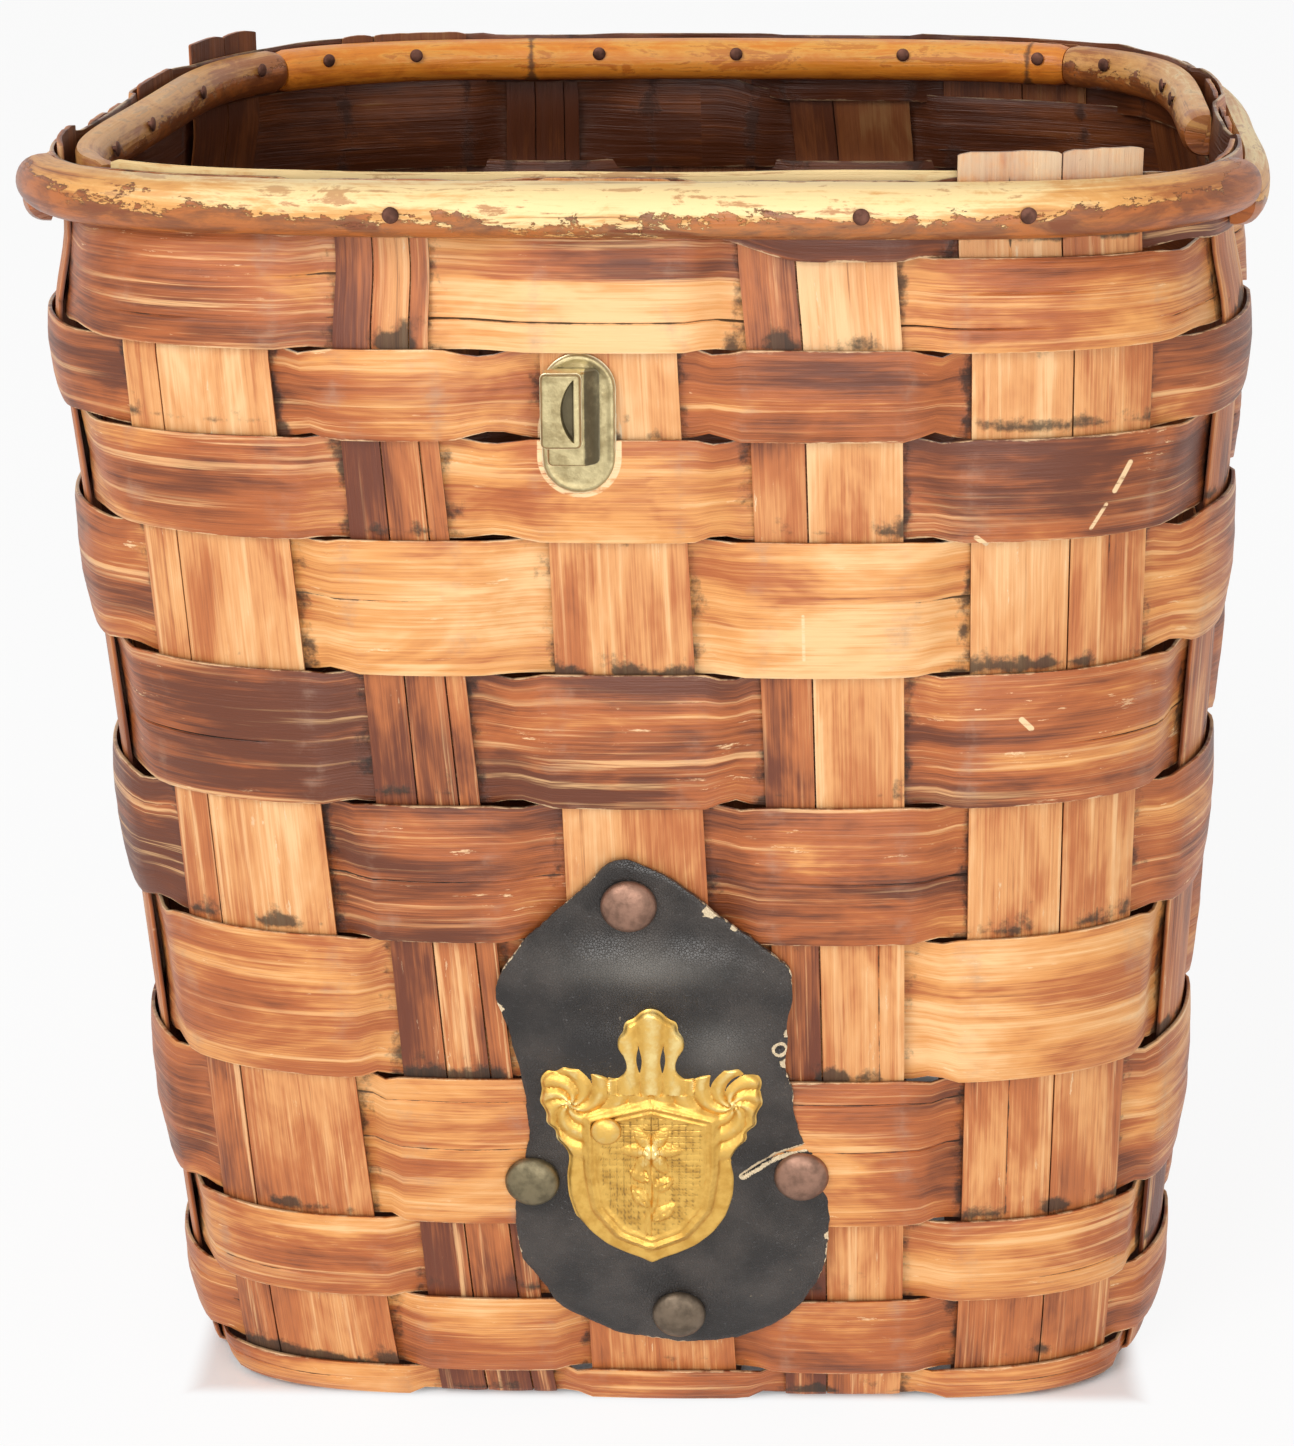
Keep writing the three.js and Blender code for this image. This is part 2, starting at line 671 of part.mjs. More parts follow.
const patchSeat = faceOffset + seatClearance;
const patchFace = patchSeat + patchThickness;
const badgeSeat = patchFace + seatClearance;
const badgeFace = badgeSeat + badgeThickness + badgeFieldRise;
const patchOutline = (shares) => outlineOf(shares, patchWidth, patchHeight, patchOffset, patchBottom);
const badgeOutline = (shares) => outlineOf(shares, badgeWidth, badgeHeight, badgeOffset, badgeBottom);
for (const [place, share] of Object.entries(studShares)) {
  const [spot] = patchOutline([share]);
  const offset = patchFace + seatClearance;
  addStud(`patch_stud_${place}`, spot, studRadius, studHeight, studShankLength, offset, 'bronze');
}
addStud(
  'badge_stud', badgeOutline([badgeStudShares])[0], badgeStudRadius, badgeStudHeight,
  badgeStudShankLength, badgeFace + seatClearance, 'gilt',
);

// A plate that stands on edge, with its corners rounded, from one depth to another.
function uprightPlate(width, height, radius, depth, front) {
  const shape = new THREE.Shape();
  const [w, h] = [width / 2 - radius, height / 2 - radius];
  shape.absarc(w, h, radius, 0, Math.PI / 2);
  shape.absarc(-w, h, radius, Math.PI / 2, Math.PI);
  shape.absarc(-w, -h, radius, Math.PI, 1.5 * Math.PI);
  shape.absarc(w, -h, radius, 1.5 * Math.PI, 2 * Math.PI);
  const settings = { depth, bevelEnabled: false, curveSegments: arcSteps };
  const block = new THREE.ExtrudeGeometry(shape, settings);
  return block.rotateX(Math.PI / 2).translate(0, front + depth, 0);
}

function rod(radius, from, to) {
  const bar = new THREE.CylinderGeometry(radius, radius, to - from, studSteps);
  return bar.translate(0, (from + to) / 2, 0);
}

function without(solid, tools) {
  return tools.reduce((rest, tool) => rest.subtract(toSolid(tool)), solid);
}

// The turn catch, built about the middle of its plate with its back on Y = 0.
function addCatch() {
  const centreHeight = levels[catchRowCount] + catchRise;
  const upright = columnOf('c', 'front');
  const behind = stakeSpots(upright, centreHeight);
  const centre = behind[0].point.clone().lerp(behind.at(-1).point, 0.5);
  const x = centre.x - catchOffset;

  // The plates clear the outermost and the innermost splint that they lie across.
  const faces = rowShares.flatMap((_, row) => {
    const low = Math.max(levels[row], centreHeight - catchPlateHeight / 2);
    const high = Math.min(levels[row + 1], centreHeight + catchPlateHeight / 2);
    const weaverInFront = (columns.indexOf(upright) + row) % 2 === 0;
    const front = (weaverInFront ? faceOffset : stakeThickness / 2) + seatClearance;
    const back = (weaverInFront ? stakeThickness / 2 : faceOffset) + seatClearance;
    return low < high
      ? [low, high].map((z) => [frontSpot(x, z, front).y, frontSpot(x, z, -back).y])
      : [];
  });
  const seat = Math.min(...faces.map(([front]) => front));
  const inside = Math.max(...faces.map(([, back]) => back)) - seat;
  const pivot = new THREE.Vector3(-collarOffset, 0, buttonRise);
  const group = new THREE.Group();
  group.position.set(x, seat, centreHeight);
  group.updateMatrix();
  basket.add(group);

  const rodBore = (from, to) => (
    rod(spindleRadius + boreClearance, from - overrun, to + overrun)
      .translate(pivot.x, 0, pivot.z)
  );
  const prongLength = inside + backPlateThickness + overrun;
  const prongStart = -catchPlateThickness / 2;
  const prongHeights = [-1, 1].map((side) => side * (catchPlateHeight / 2 - prongInset));
  const prongs = (grow) => prongHeights.map((z) => {
    const length = prongLength - prongStart + grow;
    const bar = new THREE.BoxGeometry(prongWidth + 2 * grow, length, prongThickness + 2 * grow);
    return bar.translate(0, prongStart + length / 2, z);
  });

  const endRadius = catchPlateWidth / 2 - endFlat;
  const plate = uprightPlate(
    catchPlateWidth, catchPlateHeight, endRadius, catchPlateThickness, -catchPlateThickness,
  );
  const spindleWay = rodBore(-catchPlateThickness, inside + backPlateThickness);
  const prongedPlate = prongs(0).reduce((solid, bar) => solid.add(toSolid(bar)), toSolid(plate));
  addPiece('catch_plate', toGeometry(without(prongedPlate, [spindleWay])), 'brass', group);

  const collarBack = -catchPlateThickness - runningClearance;
  const collarFront = collarBack - collarDepth;
  const collar = uprightPlate(
    collarWidth, collarHeight, collarCornerRadius, collarDepth, collarFront,
  ).translate(-collarOffset, 0, collarRise);
  const collarWay = rodBore(collarFront, collarBack);
  addPiece('catch_collar', toGeometry(without(toSolid(collar), [collarWay])), 'brass', group);

  // The button and its washer are made about the spindle's own axis.
  const buttonBack = collarFront - runningClearance;
  const buttonFront = buttonBack - buttonDepth;
  const block = uprightPlate(
    buttonWidth, buttonHeight, buttonCornerRadius, buttonDepth, buttonFront,
  ).translate(-buttonOffset, 0, 0);
  const scoop = uprightPlate(
    scoopWidth, scoopHeight, scoopWidth / 2 - endFlat, scoopDepth + overrun, buttonFront - overrun,
  ).translate(0, 0, -scoopDrop);
  const spindleEnd = inside + backPlateThickness + spindleStub;
  const spindle = rod(spindleRadius, buttonBack - overrun, spindleEnd);
  const button = without(toSolid(block), [scoop]).add(toSolid(spindle));
  addPiece('turn_button', toGeometry(button), 'brass', group).position.copy(pivot);

  const backPlate = uprightPlate(
    catchPlateWidth, catchPlateHeight, endRadius, backPlateThickness, inside,
  );
  const slotted = without(toSolid(backPlate), [...prongs(boreClearance), spindleWay]);
  addPiece('catch_back_plate', toGeometry(slotted), 'brass', group);

  const washerBack = inside + backPlateThickness + runningClearance;
  const washer = toSolid(rod(washerRadius, washerBack, washerBack + washerThickness));
  const washerWay = rod(spindleRadius + boreClearance, washerBack - overrun, spindleEnd + overrun);
  const washerGeometry = toGeometry(without(washer, [washerWay]));
  addPiece('spindle_washer', washerGeometry, 'brass', group).position.copy(pivot);

  for (const bore of [...prongs(boreClearance), rodBore(0, inside)]) {
    addBore(bore, group.matrix);
  }
}
addCatch();

// The woven pieces and canes are made last, because the pieces above bore them.
for (const name of frontNames) {
  addPiece(`stake_front_${name}`, bored(stakeGeometry(name)), 'stake');
}
for (const name of sideNames) {
  addPiece(`stake_side_${name}`, bored(stakeGeometry(name)), 'stake');
}
rowShares.forEach((_, row) => {
  const number = String(row + 1).padStart(2, '0');
  addPiece(`weaver_${number}`, bored(weaverGeometry(row)), 'weaver');
});
const outerCane = { seat: outerSeat, height: hoopHeight };
const innerCane = { seat: -innerSeat, thickness: -innerHoopThickness, height: innerHoopHeight };
const linerCane = { seat: -innerSeat, thickness: -linerThickness, height: linerHeight };
const canes = {
  outer_hoop_front: { ...outerCane, thickness: outerHoopThickness, rise: 0 },
  outer_hoop_back: { ...outerCane, thickness: sideHoopThickness, rise: -sideHoopDrop },
  inner_hoop_right: { ...innerCane, rise: 0 },
  inner_hoop_back: { ...innerCane, rise: 0 },
  inner_hoop_left: { ...innerCane, rise: 0 },
  rim_liner_front: { ...linerCane, rise: linerRise },
};
for (const [name, span] of Object.entries(hoopSpanShares)) {
  const { seat, thickness, height, rise } = canes[name];
  const geometry = hoopGeometry(span, seat, thickness, height, hoopCentreHeight + rise);
  addPiece(name, bored(geometry), name === 'inner_hoop_back' ? 'amberCane' : 'cane');
}

const patchSheet = sheetSolid(patchOutline(patchShares), patchSeat, patchThickness);
addPiece('leather_patch', bored(toGeometry(patchSheet)), 'leather');
const badgePlate = sheetSolid(badgeOutline(mirrored(badgeShares)), badgeSeat, badgeThickness);
const badgeField = sheetSolid(
  badgeOutline(mirrored(badgeFieldShares)), badgeSeat, badgeThickness + badgeFieldRise,
);
addPiece('badge', bored(toGeometry(badgePlate.add(badgeField))), 'gilt');

// The origin is the middle of what the basket stands on.
const bounds = new THREE.Box3().setFromObject(basket);
const middle = bounds.getCenter(new THREE.Vector3());
basket.position.set(-middle.x, -middle.y, -bounds.min.z);

export default basket;
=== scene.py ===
import json
import math
from typing import NamedTuple

import bmesh
import bpy
import numpy as np
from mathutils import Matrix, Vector, noise


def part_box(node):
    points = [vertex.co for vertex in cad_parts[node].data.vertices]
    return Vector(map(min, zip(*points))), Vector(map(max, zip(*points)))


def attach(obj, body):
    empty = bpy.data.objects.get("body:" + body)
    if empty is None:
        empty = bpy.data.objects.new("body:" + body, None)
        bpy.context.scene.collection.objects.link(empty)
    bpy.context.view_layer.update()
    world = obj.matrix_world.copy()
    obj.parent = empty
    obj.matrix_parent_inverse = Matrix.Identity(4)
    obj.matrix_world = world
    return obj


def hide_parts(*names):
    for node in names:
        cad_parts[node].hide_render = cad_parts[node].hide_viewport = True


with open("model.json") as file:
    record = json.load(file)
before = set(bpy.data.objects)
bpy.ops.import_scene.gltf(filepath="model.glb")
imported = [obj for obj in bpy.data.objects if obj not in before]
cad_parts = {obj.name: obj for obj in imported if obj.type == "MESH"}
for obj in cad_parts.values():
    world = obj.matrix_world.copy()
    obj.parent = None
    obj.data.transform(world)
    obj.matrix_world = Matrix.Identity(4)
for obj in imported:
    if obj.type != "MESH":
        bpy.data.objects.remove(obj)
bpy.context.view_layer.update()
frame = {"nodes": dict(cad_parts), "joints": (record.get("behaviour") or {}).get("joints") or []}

bl_info = {
    "name": "Splint basket",
    "version": (1, 0, 0),
    "blender": (4, 5, 0),
    "location": "3D View > Sidebar > Basket",
    "description": "Builds the finished surfaces of a woven splint basket around its solid frame",
    "category": "Add Mesh",
}

MM = 0.001

# The wall, on the middle surface between its two layers of splints.
WALL_HEIGHT = 398 * MM
FOOT_HEIGHT = 4 * MM
SHOULDER_HEIGHT = 350 * MM
NECK_HEIGHT = 378.4 * MM
MOUTH_LENGTH, MOUTH_DEPTH = 343 * MM, 276 * MM
SHOULDER_LENGTH, SHOULDER_DEPTH = 352 * MM, 284 * MM
FOOT_LENGTH, FOOT_DEPTH = 312 * MM, 222 * MM
FOOT_SHIFT = 8 * MM
RACK_SHARE = 0.08
FLARE_SHARE = 0.65
FRONT_SQUARENESS = 5
BACK_SQUARENESS = 3.8
WAIST_ROUNDING = 0.7
WALL_CENTRE = np.array((0.54 * MM, 2.35 * MM))
FINE_TURNS = 6000

# The splints and how they lie on each other.
SPLINT_HALF = 0.75 * MM
LAYER_OFFSET = 1.95 * MM
CROSSING_MARGIN = 1.5 * MM
ROW_GAP = 1.2 * MM
ROW_LAP = 0.4 * MM
BACK_LAP = 0.8 * MM
PINCH = 1.3 * MM
ALONG_STEP = 4.5 * MM
ACROSS_STEP = 3.2 * MM
LOW_LAYER = 0.8 * MM
HIGH_LAYER = 2.75 * MM
BEND_INSET = 3.6 * MM
BEND_HEIGHT = 2 * MM

# The wood's surface: its rounded edges, the slits and lengths of its cracks, its scuffed edges,
# and its ridges, fine and broad, each with its length, its width and its strength.
FINE_EDGE = 0.7 * MM
SLIT_HALF = 0.45 * MM
CRACK_RUN = 70 * MM
SCUFF_REACH = 1.8 * MM
WEAVER_RIDGES = ((55 * MM, 4.2 * MM, 1), (120 * MM, 13 * MM, 1.2))
STRIP_RIDGES = ((60 * MM, 3.8 * MM, 1), (140 * MM, 11 * MM, 1))

# A weaver's own shape: how far it cups, thins towards its edges and wanders, the least height
# of its lower edge, the width from which it cracks in three, and how far its dark strip reaches.
# Dirt and painted shade darken it, and dust gathers on it, this near the places where it dives
# behind an upright.
CUP_SHARE = 0.022
WEAVER_EDGE_THINNING = 0.25 * MM
WANDER, WANDER_RUN = 0.4 * MM, 75 * MM
PINCH_RUN = 60 * MM
LEAST_HEIGHT = 0.1 * MM
WIDE_ROW = 25 * MM
DARK_STRIP_REACH = 50 * MM
CORNER_DIRT_AND_SHADE, CORNER_DUST = 5 * MM, 9 * MM

ROWS = [f"weaver_{number:02d}" for number in range(1, 13)]
LEVELS = [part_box(name)[0].z - ROW_GAP / 2 for name in ROWS] + [WALL_HEIGHT]

# The lowest row hangs down to the floor. The second highest reaches up behind the rim, except
# on the right, where the two highest rows dip over this span.
TOP_ROW = len(ROWS) - 1
FOOT_DROP = 2.2 * MM
RIM_DIP = 6.5 * MM
DIP_SPAN = (12 * MM, 40 * MM)
LEVELS[0] -= FOOT_DROP
LEVELS[TOP_ROW] += RIM_DIP

# A row's grain starts and ends behind an upright of the back, between two close rings.
SEAM_GAP = 0.03 * MM
SEAM_PLACE = 12

# The middle of each upright along its side and its width, as shares of the mouth's and of the
# foot's length: middle at mouth, middle at foot, width at mouth, width at foot.
FRONT_STAKE_SHARES = {
    "a": (-0.683, -0.69, 0.122, 0.165),
    "b": (-0.389, -0.333, 0.073, 0.118),
    "c": (-0.03, 0.006, 0.107, 0.147),
    "d": (0.305, 0.365, 0.127, 0.116),
    "e": (0.677, 0.737, 0.147, 0.152),
}
SIDE_STAKE_SHARES = {
    "p": (-0.6, -0.6, 0.133, 0.15),
    "q": (-0.2, -0.2, 0.137, 0.155),
    "r": (0.2, 0.2, 0.137, 0.155),
    "s": (0.6, 0.58, 0.133, 0.14),
}
BACK_PLACE_SHARE = 0.93

# How each upright is split: where each strip starts across its width, and the strip's tone.
STRIP_SHARES = {
    "a": ((0, 0.46), (0.24, 0.66)),
    "b": ((0, 0.18), (0.4, 0.38), (0.8, 0.34)),
    "c": ((0, 0.66),),
    "d": ((0, 0.3), (0.36, 0.74)),
    "e": ((0, 0.68), (0.56, 0.6)),
    "p": ((0, 0.4),),
    "q": ((0, 0.5), (0.55, 0.42)),
    "r": ((0, 0.46),),
    "s": ((0, 0.42), (0.6, 0.5)),
}

# A strip's own shape: the gap to the next one, the width from which it cracks, the depth of its
# cracks, how far it thins at its edges, its ridges and its sway, and its sawn ends.
STRIP_GAP = 0.25 * MM
WIDE_STRIP = 20 * MM
STRIP_CRACK = 0.6 * MM
STRIP_EDGE_THINNING = 0.2 * MM
STRIP_RIDGE = 0.13 * MM
STRIP_SWAY, SWAY_RUN = 0.12 * MM, 200 * MM
LEAST_STRIP_HEIGHT = 0.02 * MM
BEND_CLEARANCE = 0.2 * MM
LOW_END = 2 * MM
END_SINK = 0.8 * MM
END_JAG, JAG_WIDTH = 0.25 * MM, 4 * MM
END_ROUNDING, END_CORNER = 0.9 * MM, 1.2 * MM
END_DUST_BAND = 3 * MM

# Residue on an upright: the size of its blots, along and across, and how far it reaches up from
# one weaver; and how far the painted shadow reaches down from the next.
BLOT_LENGTH, BLOT_WIDTH = 9 * MM, 11 * MM
RESIDUE_UP, SHADOW_DOWN = 6 * MM, 3 * MM

# How far each upright's near and far ends stand above the wall.
END_RISES = {
    "a": (1 * MM, 2 * MM), "b": (1 * MM, 1.5 * MM), "c": (1.5 * MM, 0), "d": (1 * MM, 0.5 * MM),
    "e": (8 * MM, 0.5 * MM), "p": (3 * MM, 1 * MM), "q": (1 * MM, 1 * MM), "r": (2.5 * MM, 1 * MM),
    "s": (7.5 * MM, 1 * MM),
}

# How dusty an upright's end is where it stands above the wall.
END_DUST = {("e", "front"): 0.85, ("s", "right"): 0.9, ("a", "back"): 0, ("b", "back"): 0.15}

# The tone of each weaver where it passes over the front's uprights, from dark to honey, with the
# rows from the foot up. Even rows pass over a, c and e, and odd rows over p, b, d and p.
FRONT_TONE_SHARES = (
    (0.4, 0.36, 0.42), (0.2, 0.42, 0.3, 0.28), (0.35, 0.42, 0.5), (0.22, 0.55, 0.35, 0.3),
    (0.32, 0.4, 0.62), (-0.05, 0.05, 0.22, 0.1), (-0.1, 0.05, 0.12), (0.08, 0.55, 0.75, 0.3),
    (0.22, 0.6, 0.02), (0.12, 0.38, 0.22, 0.15), (0.06, 0.95, 0.42), (0.2, 0.3, 0, 0),
)


def paint(code):
    """A colour written as 0xRRGGBB, as the linear values that shaders take."""
    parts = [(code >> shift & 255) / 255 for shift in (16, 8, 0)]
    return tuple(p / 12.92 if p <= 0.04045 else ((p + 0.055) / 1.055) ** 2.4 for p in parts)


def smooth(low, high, value):
    t = np.clip((value - low) / (high - low), 0, 1)
    return t * t * (3 - 2 * t)


def bump(gap, width):
    """1 where a gap is 0, and next to nothing beyond twice the width."""
    return np.exp(-((gap / width) ** 2))


def lengths_along(points):
    """The way along a line of points, at each of them."""
    steps = np.linalg.norm(np.diff(points, axis=0), axis=1)
    return np.concatenate(([0], np.cumsum(steps)))


def outward(run):
    """The directions away from the basket, square to runs round it."""
    normals = np.stack((run[..., 1], -run[..., 0]), -1)
    return normals / np.linalg.norm(normals, axis=-1, keepdims=True)


class Plan(NamedTuple):
    """The wall's outline at one height."""

    half_length: float
    half_depth: float
    front: float
    back: float
    shift: float


def plan_at(z):
    """The outline at a height: it flares from the foot and draws in at the neck."""
    climb = min(1, max(0, z / SHOULDER_HEIGHT)) ** FLARE_SHARE
    neck = min(1, max(0, (z - SHOULDER_HEIGHT) / (NECK_HEIGHT - SHOULDER_HEIGHT)))
    pull = neck * neck * (3 - 2 * neck)
    waist = math.sin(math.pi * min(1, max(0, z / WALL_HEIGHT)))

    def half(foot, shoulder, mouth):
        return (foot + (shoulder - foot) * climb + (mouth - shoulder) * pull) / 2

    return Plan(
        half(FOOT_LENGTH, SHOULDER_LENGTH, MOUTH_LENGTH),
        half(FOOT_DEPTH, SHOULDER_DEPTH, MOUTH_DEPTH),
        FRONT_SQUARENESS - WAIST_ROUNDING * waist,
        BACK_SQUARENESS,
        FOOT_SHIFT * (1 - z / WALL_HEIGHT),
    )


def settle(x, y, plan):
    """Racks and shifts points of the plan to where they stand in the basket."""
    return np.stack((x + RACK_SHARE * y + plan.shift, y), -1) + WALL_CENTRE


def turn_points(turns, plan):
    """Points of the plan at shares of a full turn, from +X towards the back."""
    c, s = np.cos(turns * math.tau), np.sin(turns * math.tau)
    power = 2 / np.where(s > 0, plan.back, plan.front)
    x = np.sign(c) * np.abs(c) ** power * plan.half_length
    y = np.sign(s) * np.abs(s) ** power * plan.half_depth
    return settle(x, y, plan)


def turn_of(point, plan):
    """The share of a full turn at which a point of the plan lies."""
    y = point[1] - WALL_CENTRE[1]
    x = (point[0] - WALL_CENTRE[0] - RACK_SHARE * y - plan.shift) / plan.half_length
    y /= plan.half_depth
    power = (plan.back if y > 0 else plan.front) / 2
    angle = math.atan2(math.copysign(abs(y) ** power, y), math.copysign(abs(x) ** power, x))
    return angle / math.tau


def side_points(side, shares, plan):
    """Points of a side at shares of its half length, with their outward directions."""

    def place(along):
        along = np.clip(along, -0.9999, 0.9999)
        sideways = side in ("left", "right")
        to_back = along > 0 if sideways else np.full(along.shape, side == "back")
        power = np.where(to_back, plan.back, plan.front)
        reach = (1 - np.abs(along) ** power) ** (1 / power)
        x = (1 if side == "right" else -1) * reach if sideways else along
        y = along if sideways else (1 if side == "back" else -1) * reach
        return settle(x * plan.half_length, y * plan.half_depth, plan)

    shares = np.asarray(shares, float)
    step = 0.002
    normals = outward(place(shares + step) - place(shares - step))
    if side in ("back", "left"):
        normals = -normals
    return place(shares), normals


class Column(NamedTuple):
    """One upright where it climbs one side of the wall."""

    name: str
    side: str
    shares: tuple
    place_share: float


def all_columns():
    """The uprights in their order round the wall, from the front's left corner."""
    front = [Column(name, "front", shares, 1) for name, shares in FRONT_STAKE_SHARES.items()]
    right = [Column(name, "right", shares, 1) for name, shares in SIDE_STAKE_SHARES.items()]
    back = [Column(c.name, "back", c.shares, BACK_PLACE_SHARE) for c in reversed(front)]
    left = [Column(c.name, "left", c.shares, 1) for c in reversed(right)]
    return front + right + back + left


COLUMNS = all_columns()


def column_shares(column, z, across):
    """Where points across an upright lie along its side, as shares of the side's half length."""
    plan = plan_at(z)
    sideways = column.side in ("left", "right")
    half = plan.half_depth if sideways else plan.half_length
    climb = z / WALL_HEIGHT
    mouth_place, foot_place, mouth_width, foot_width = column.shares
    place = (foot_place + (mouth_place - foot_place) * climb) * column.place_share
    mouth_size = (MOUTH_DEPTH if sideways else MOUTH_LENGTH) * mouth_width
    foot_size = (FOOT_DEPTH if sideways else FOOT_LENGTH) * foot_width
    width = foot_size + (mouth_size - foot_size) * climb
    return place + (np.asarray(across) - 0.5) * width / half, width


def ripple(*coordinates, seed=0.0):
    """Smooth noise from -1 to 1 on arrays of up to two coordinates, where 1 is one ripple."""
    arrays = np.broadcast_arrays(*coordinates)
    flat = [a.ravel() for a in arrays]
    if len(flat) == 1:
        flat.append(np.zeros_like(flat[0]))
    values = [noise.noise(Vector((x, y, seed))) for x, y in zip(*flat)]
    return np.array(values).reshape(arrays[0].shape) * 1.6


class Build:
    """Collects rings of points into one closed mesh, with a value of each mark at each point."""

    MARKS = ("tone", "edge", "grime", "dust", "inside")

    def __init__(self):
        self.points = []
        self.grain = []
        self.faces = []
        self.marks = {name: [] for name in self.MARKS}
        self.count = 0

    def rings(self, points, grain, closed=False, **marks):
        """Skins rings of points, (ring, point, xyz), and caps them if they don't close."""
        runs, size = points.shape[:2]
        index = np.arange(runs * size).reshape(runs, size) + self.count
        here = index if closed else index[:-1]
        following = np.roll(index, -1, 0) if closed else index[1:]
        quads = np.stack(
            (here, np.roll(here, -1, 1), np.roll(following, -1, 1), following), -1
        ).reshape(-1, 4)
        self.faces.extend(quads.tolist())
        if not closed:
            for ring in (index[0], index[-1]):
                for i in range(size // 2 - 1):
                    j = size - 1 - i
                    self.faces.append([int(ring[k]) for k in (i, j, j - 1, i + 1)])
        self.points.append(points.reshape(-1, 3))
        self.grain.append(np.broadcast_to(grain, points.shape).reshape(-1, 3))
        for name in self.MARKS:
            value = np.broadcast_to(marks.get(name, 0.0), (runs, size))
            self.marks[name].append(value.ravel())
        self.count += runs * size

    def slab(self, outer, inner, grain, closed=False, **marks):
        """A strip with an outer and an inner face, each (along, across, xyz)."""
        points = np.concatenate((outer, inner[:, ::-1]), 1)
        both = {name: np.concatenate((v, v[:, ::-1]), 1) for name, v in marks.items()}
        inside = np.concatenate((np.zeros(outer.shape[:2]), np.ones(outer.shape[:2])), 1)
        self.rings(
            points, np.concatenate((grain, grain[:, ::-1]), 1), closed, inside=inside, **both
        )

    def piece(self, name, material, sharp=38):
        mesh = bpy.data.meshes.new(name)
        mesh.from_pydata(np.concatenate(self.points).tolist(), [], self.faces)
        shaped = bmesh.new()
        shaped.from_mesh(mesh)
        bmesh.ops.recalc_face_normals(shaped, faces=shaped.faces)
        shaped.to_mesh(mesh)
        shaped.free()
        grain = mesh.attributes.new("grain", "FLOAT_VECTOR", "POINT")
        grain.data.foreach_set("vector", np.concatenate(self.grain).ravel())
        for mark, values in self.marks.items():
            attribute = mesh.attributes.new(mark, "FLOAT", "POINT")
            attribute.data.foreach_set("value", np.concatenate(values))
        mesh.polygons.foreach_set("use_smooth", [True] * len(mesh.polygons))
        mesh.set_sharp_from_angle(angle=math.radians(sharp))
        mesh.materials.append(material)
        made = bpy.data.objects.new(name, mesh)
        bpy.context.scene.collection.objects.link(made)
        return made


def install(piece, body, slot, *nodes):
    """Puts a finished piece on its body, in place of the plain solids that it stands for."""
    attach(piece, body)
    if nodes:
        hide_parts(*nodes)


class Signal:
    """A shader value that Python's operators carry on into Math nodes."""

    def __init__(self, finish, socket):
        self.finish = finish
        self.socket = socket

    def math(self, operation, *values):
        """A Math node on these values; self only says which tree it goes in."""
        sockets = dict(enumerate(values))
        return self.finish.node("ShaderNodeMath", {"operation": operation}, sockets)

    def __add__(self, other):
        return self.math("ADD", self, other)

    def __radd__(self, other):
        return self.math("ADD", other, self)

    def __sub__(self, other):
        return self.math("SUBTRACT", self, other)

    def __rsub__(self, other):
        return self.math("SUBTRACT", other, self)

    def __mul__(self, other):
        return self.math("MULTIPLY", self, other)

    def __rmul__(self, other):
        return self.math("MULTIPLY", other, self)

    def between(self, low, high):
        """0 below low and 1 above high, with a soft change."""
        return self.finish.node(
            "ShaderNodeMapRange", {"interpolation_type": "SMOOTHSTEP"},
            {"Value": self, "From Min": low, "From Max": high},
        )


class Nodes:
    """A tree of shader nodes that grows by calls and by sums of signals."""

    def __init__(self, tree):
        self.tree = tree

    def node(self, kind, settings=None, sockets=None, output=0):
        """Adds a node, sets it up, feeds its sockets and returns one of its outputs."""
        made = self.tree.nodes.new(kind)
        for name, value in (settings or {}).items():
            setattr(made, name, value)
        self.feed(made, sockets or {})
        return Signal(self, made.outputs[output])

    def feed(self, node, sockets):
        for name, value in sockets.items():
            socket = node.inputs[name]
            if isinstance(value, Signal):
                self.tree.links.new(value.socket, socket)
            else:
                socket.default_value = value

    def parts(self, vector):
        """A vector's three parts."""
        return [self.node("ShaderNodeSeparateXYZ", None, {0: vector}, output=i) for i in range(3)]

    def seen(self):
        """1 for what the camera, reflections and clear things show, and 0 for other light."""
        camera, glossy, clear = [
            self.node("ShaderNodeLightPath", output=f"Is {kind} Ray")
            for kind in ("Camera", "Glossy", "Transmission")
        ]
        either = camera.math("MAXIMUM", camera, glossy)
        return either.math("MAXIMUM", either, clear)


# Scratches on the front, each as two ends (across, up) and its least and greatest distance
# from the line between them. The last is a painted light rim, a halo, round the catch's lower end.
SCARS_AND_HALO = (
    ((131.7 * MM, 317.4 * MM), (127.5 * MM, 309.5 * MM), -1 * MM, 0.9 * MM),
    ((125.2 * MM, 305.6 * MM), (121.2 * MM, 298.6 * MM), -1 * MM, 0.7 * MM),
    ((103.5 * MM, 241.3 * MM), (106.4 * MM, 238.3 * MM), -1 * MM, 1 * MM),
    ((88.5 * MM, 297.5 * MM), (91.5 * MM, 295 * MM), -1 * MM, 0.9 * MM),
    ((40.1 * MM, 274.6 * MM), (40.6 * MM, 261 * MM), -1 * MM, 0.6 * MM),
    ((-22.5 * MM, 321.6 * MM), (-22.5 * MM, 328 * MM), 10 * MM, 11.9 * MM),
)
SCAR_SOFTNESS = 0.3 * MM
SCAR_FACE = (-110 * MM, -100 * MM)


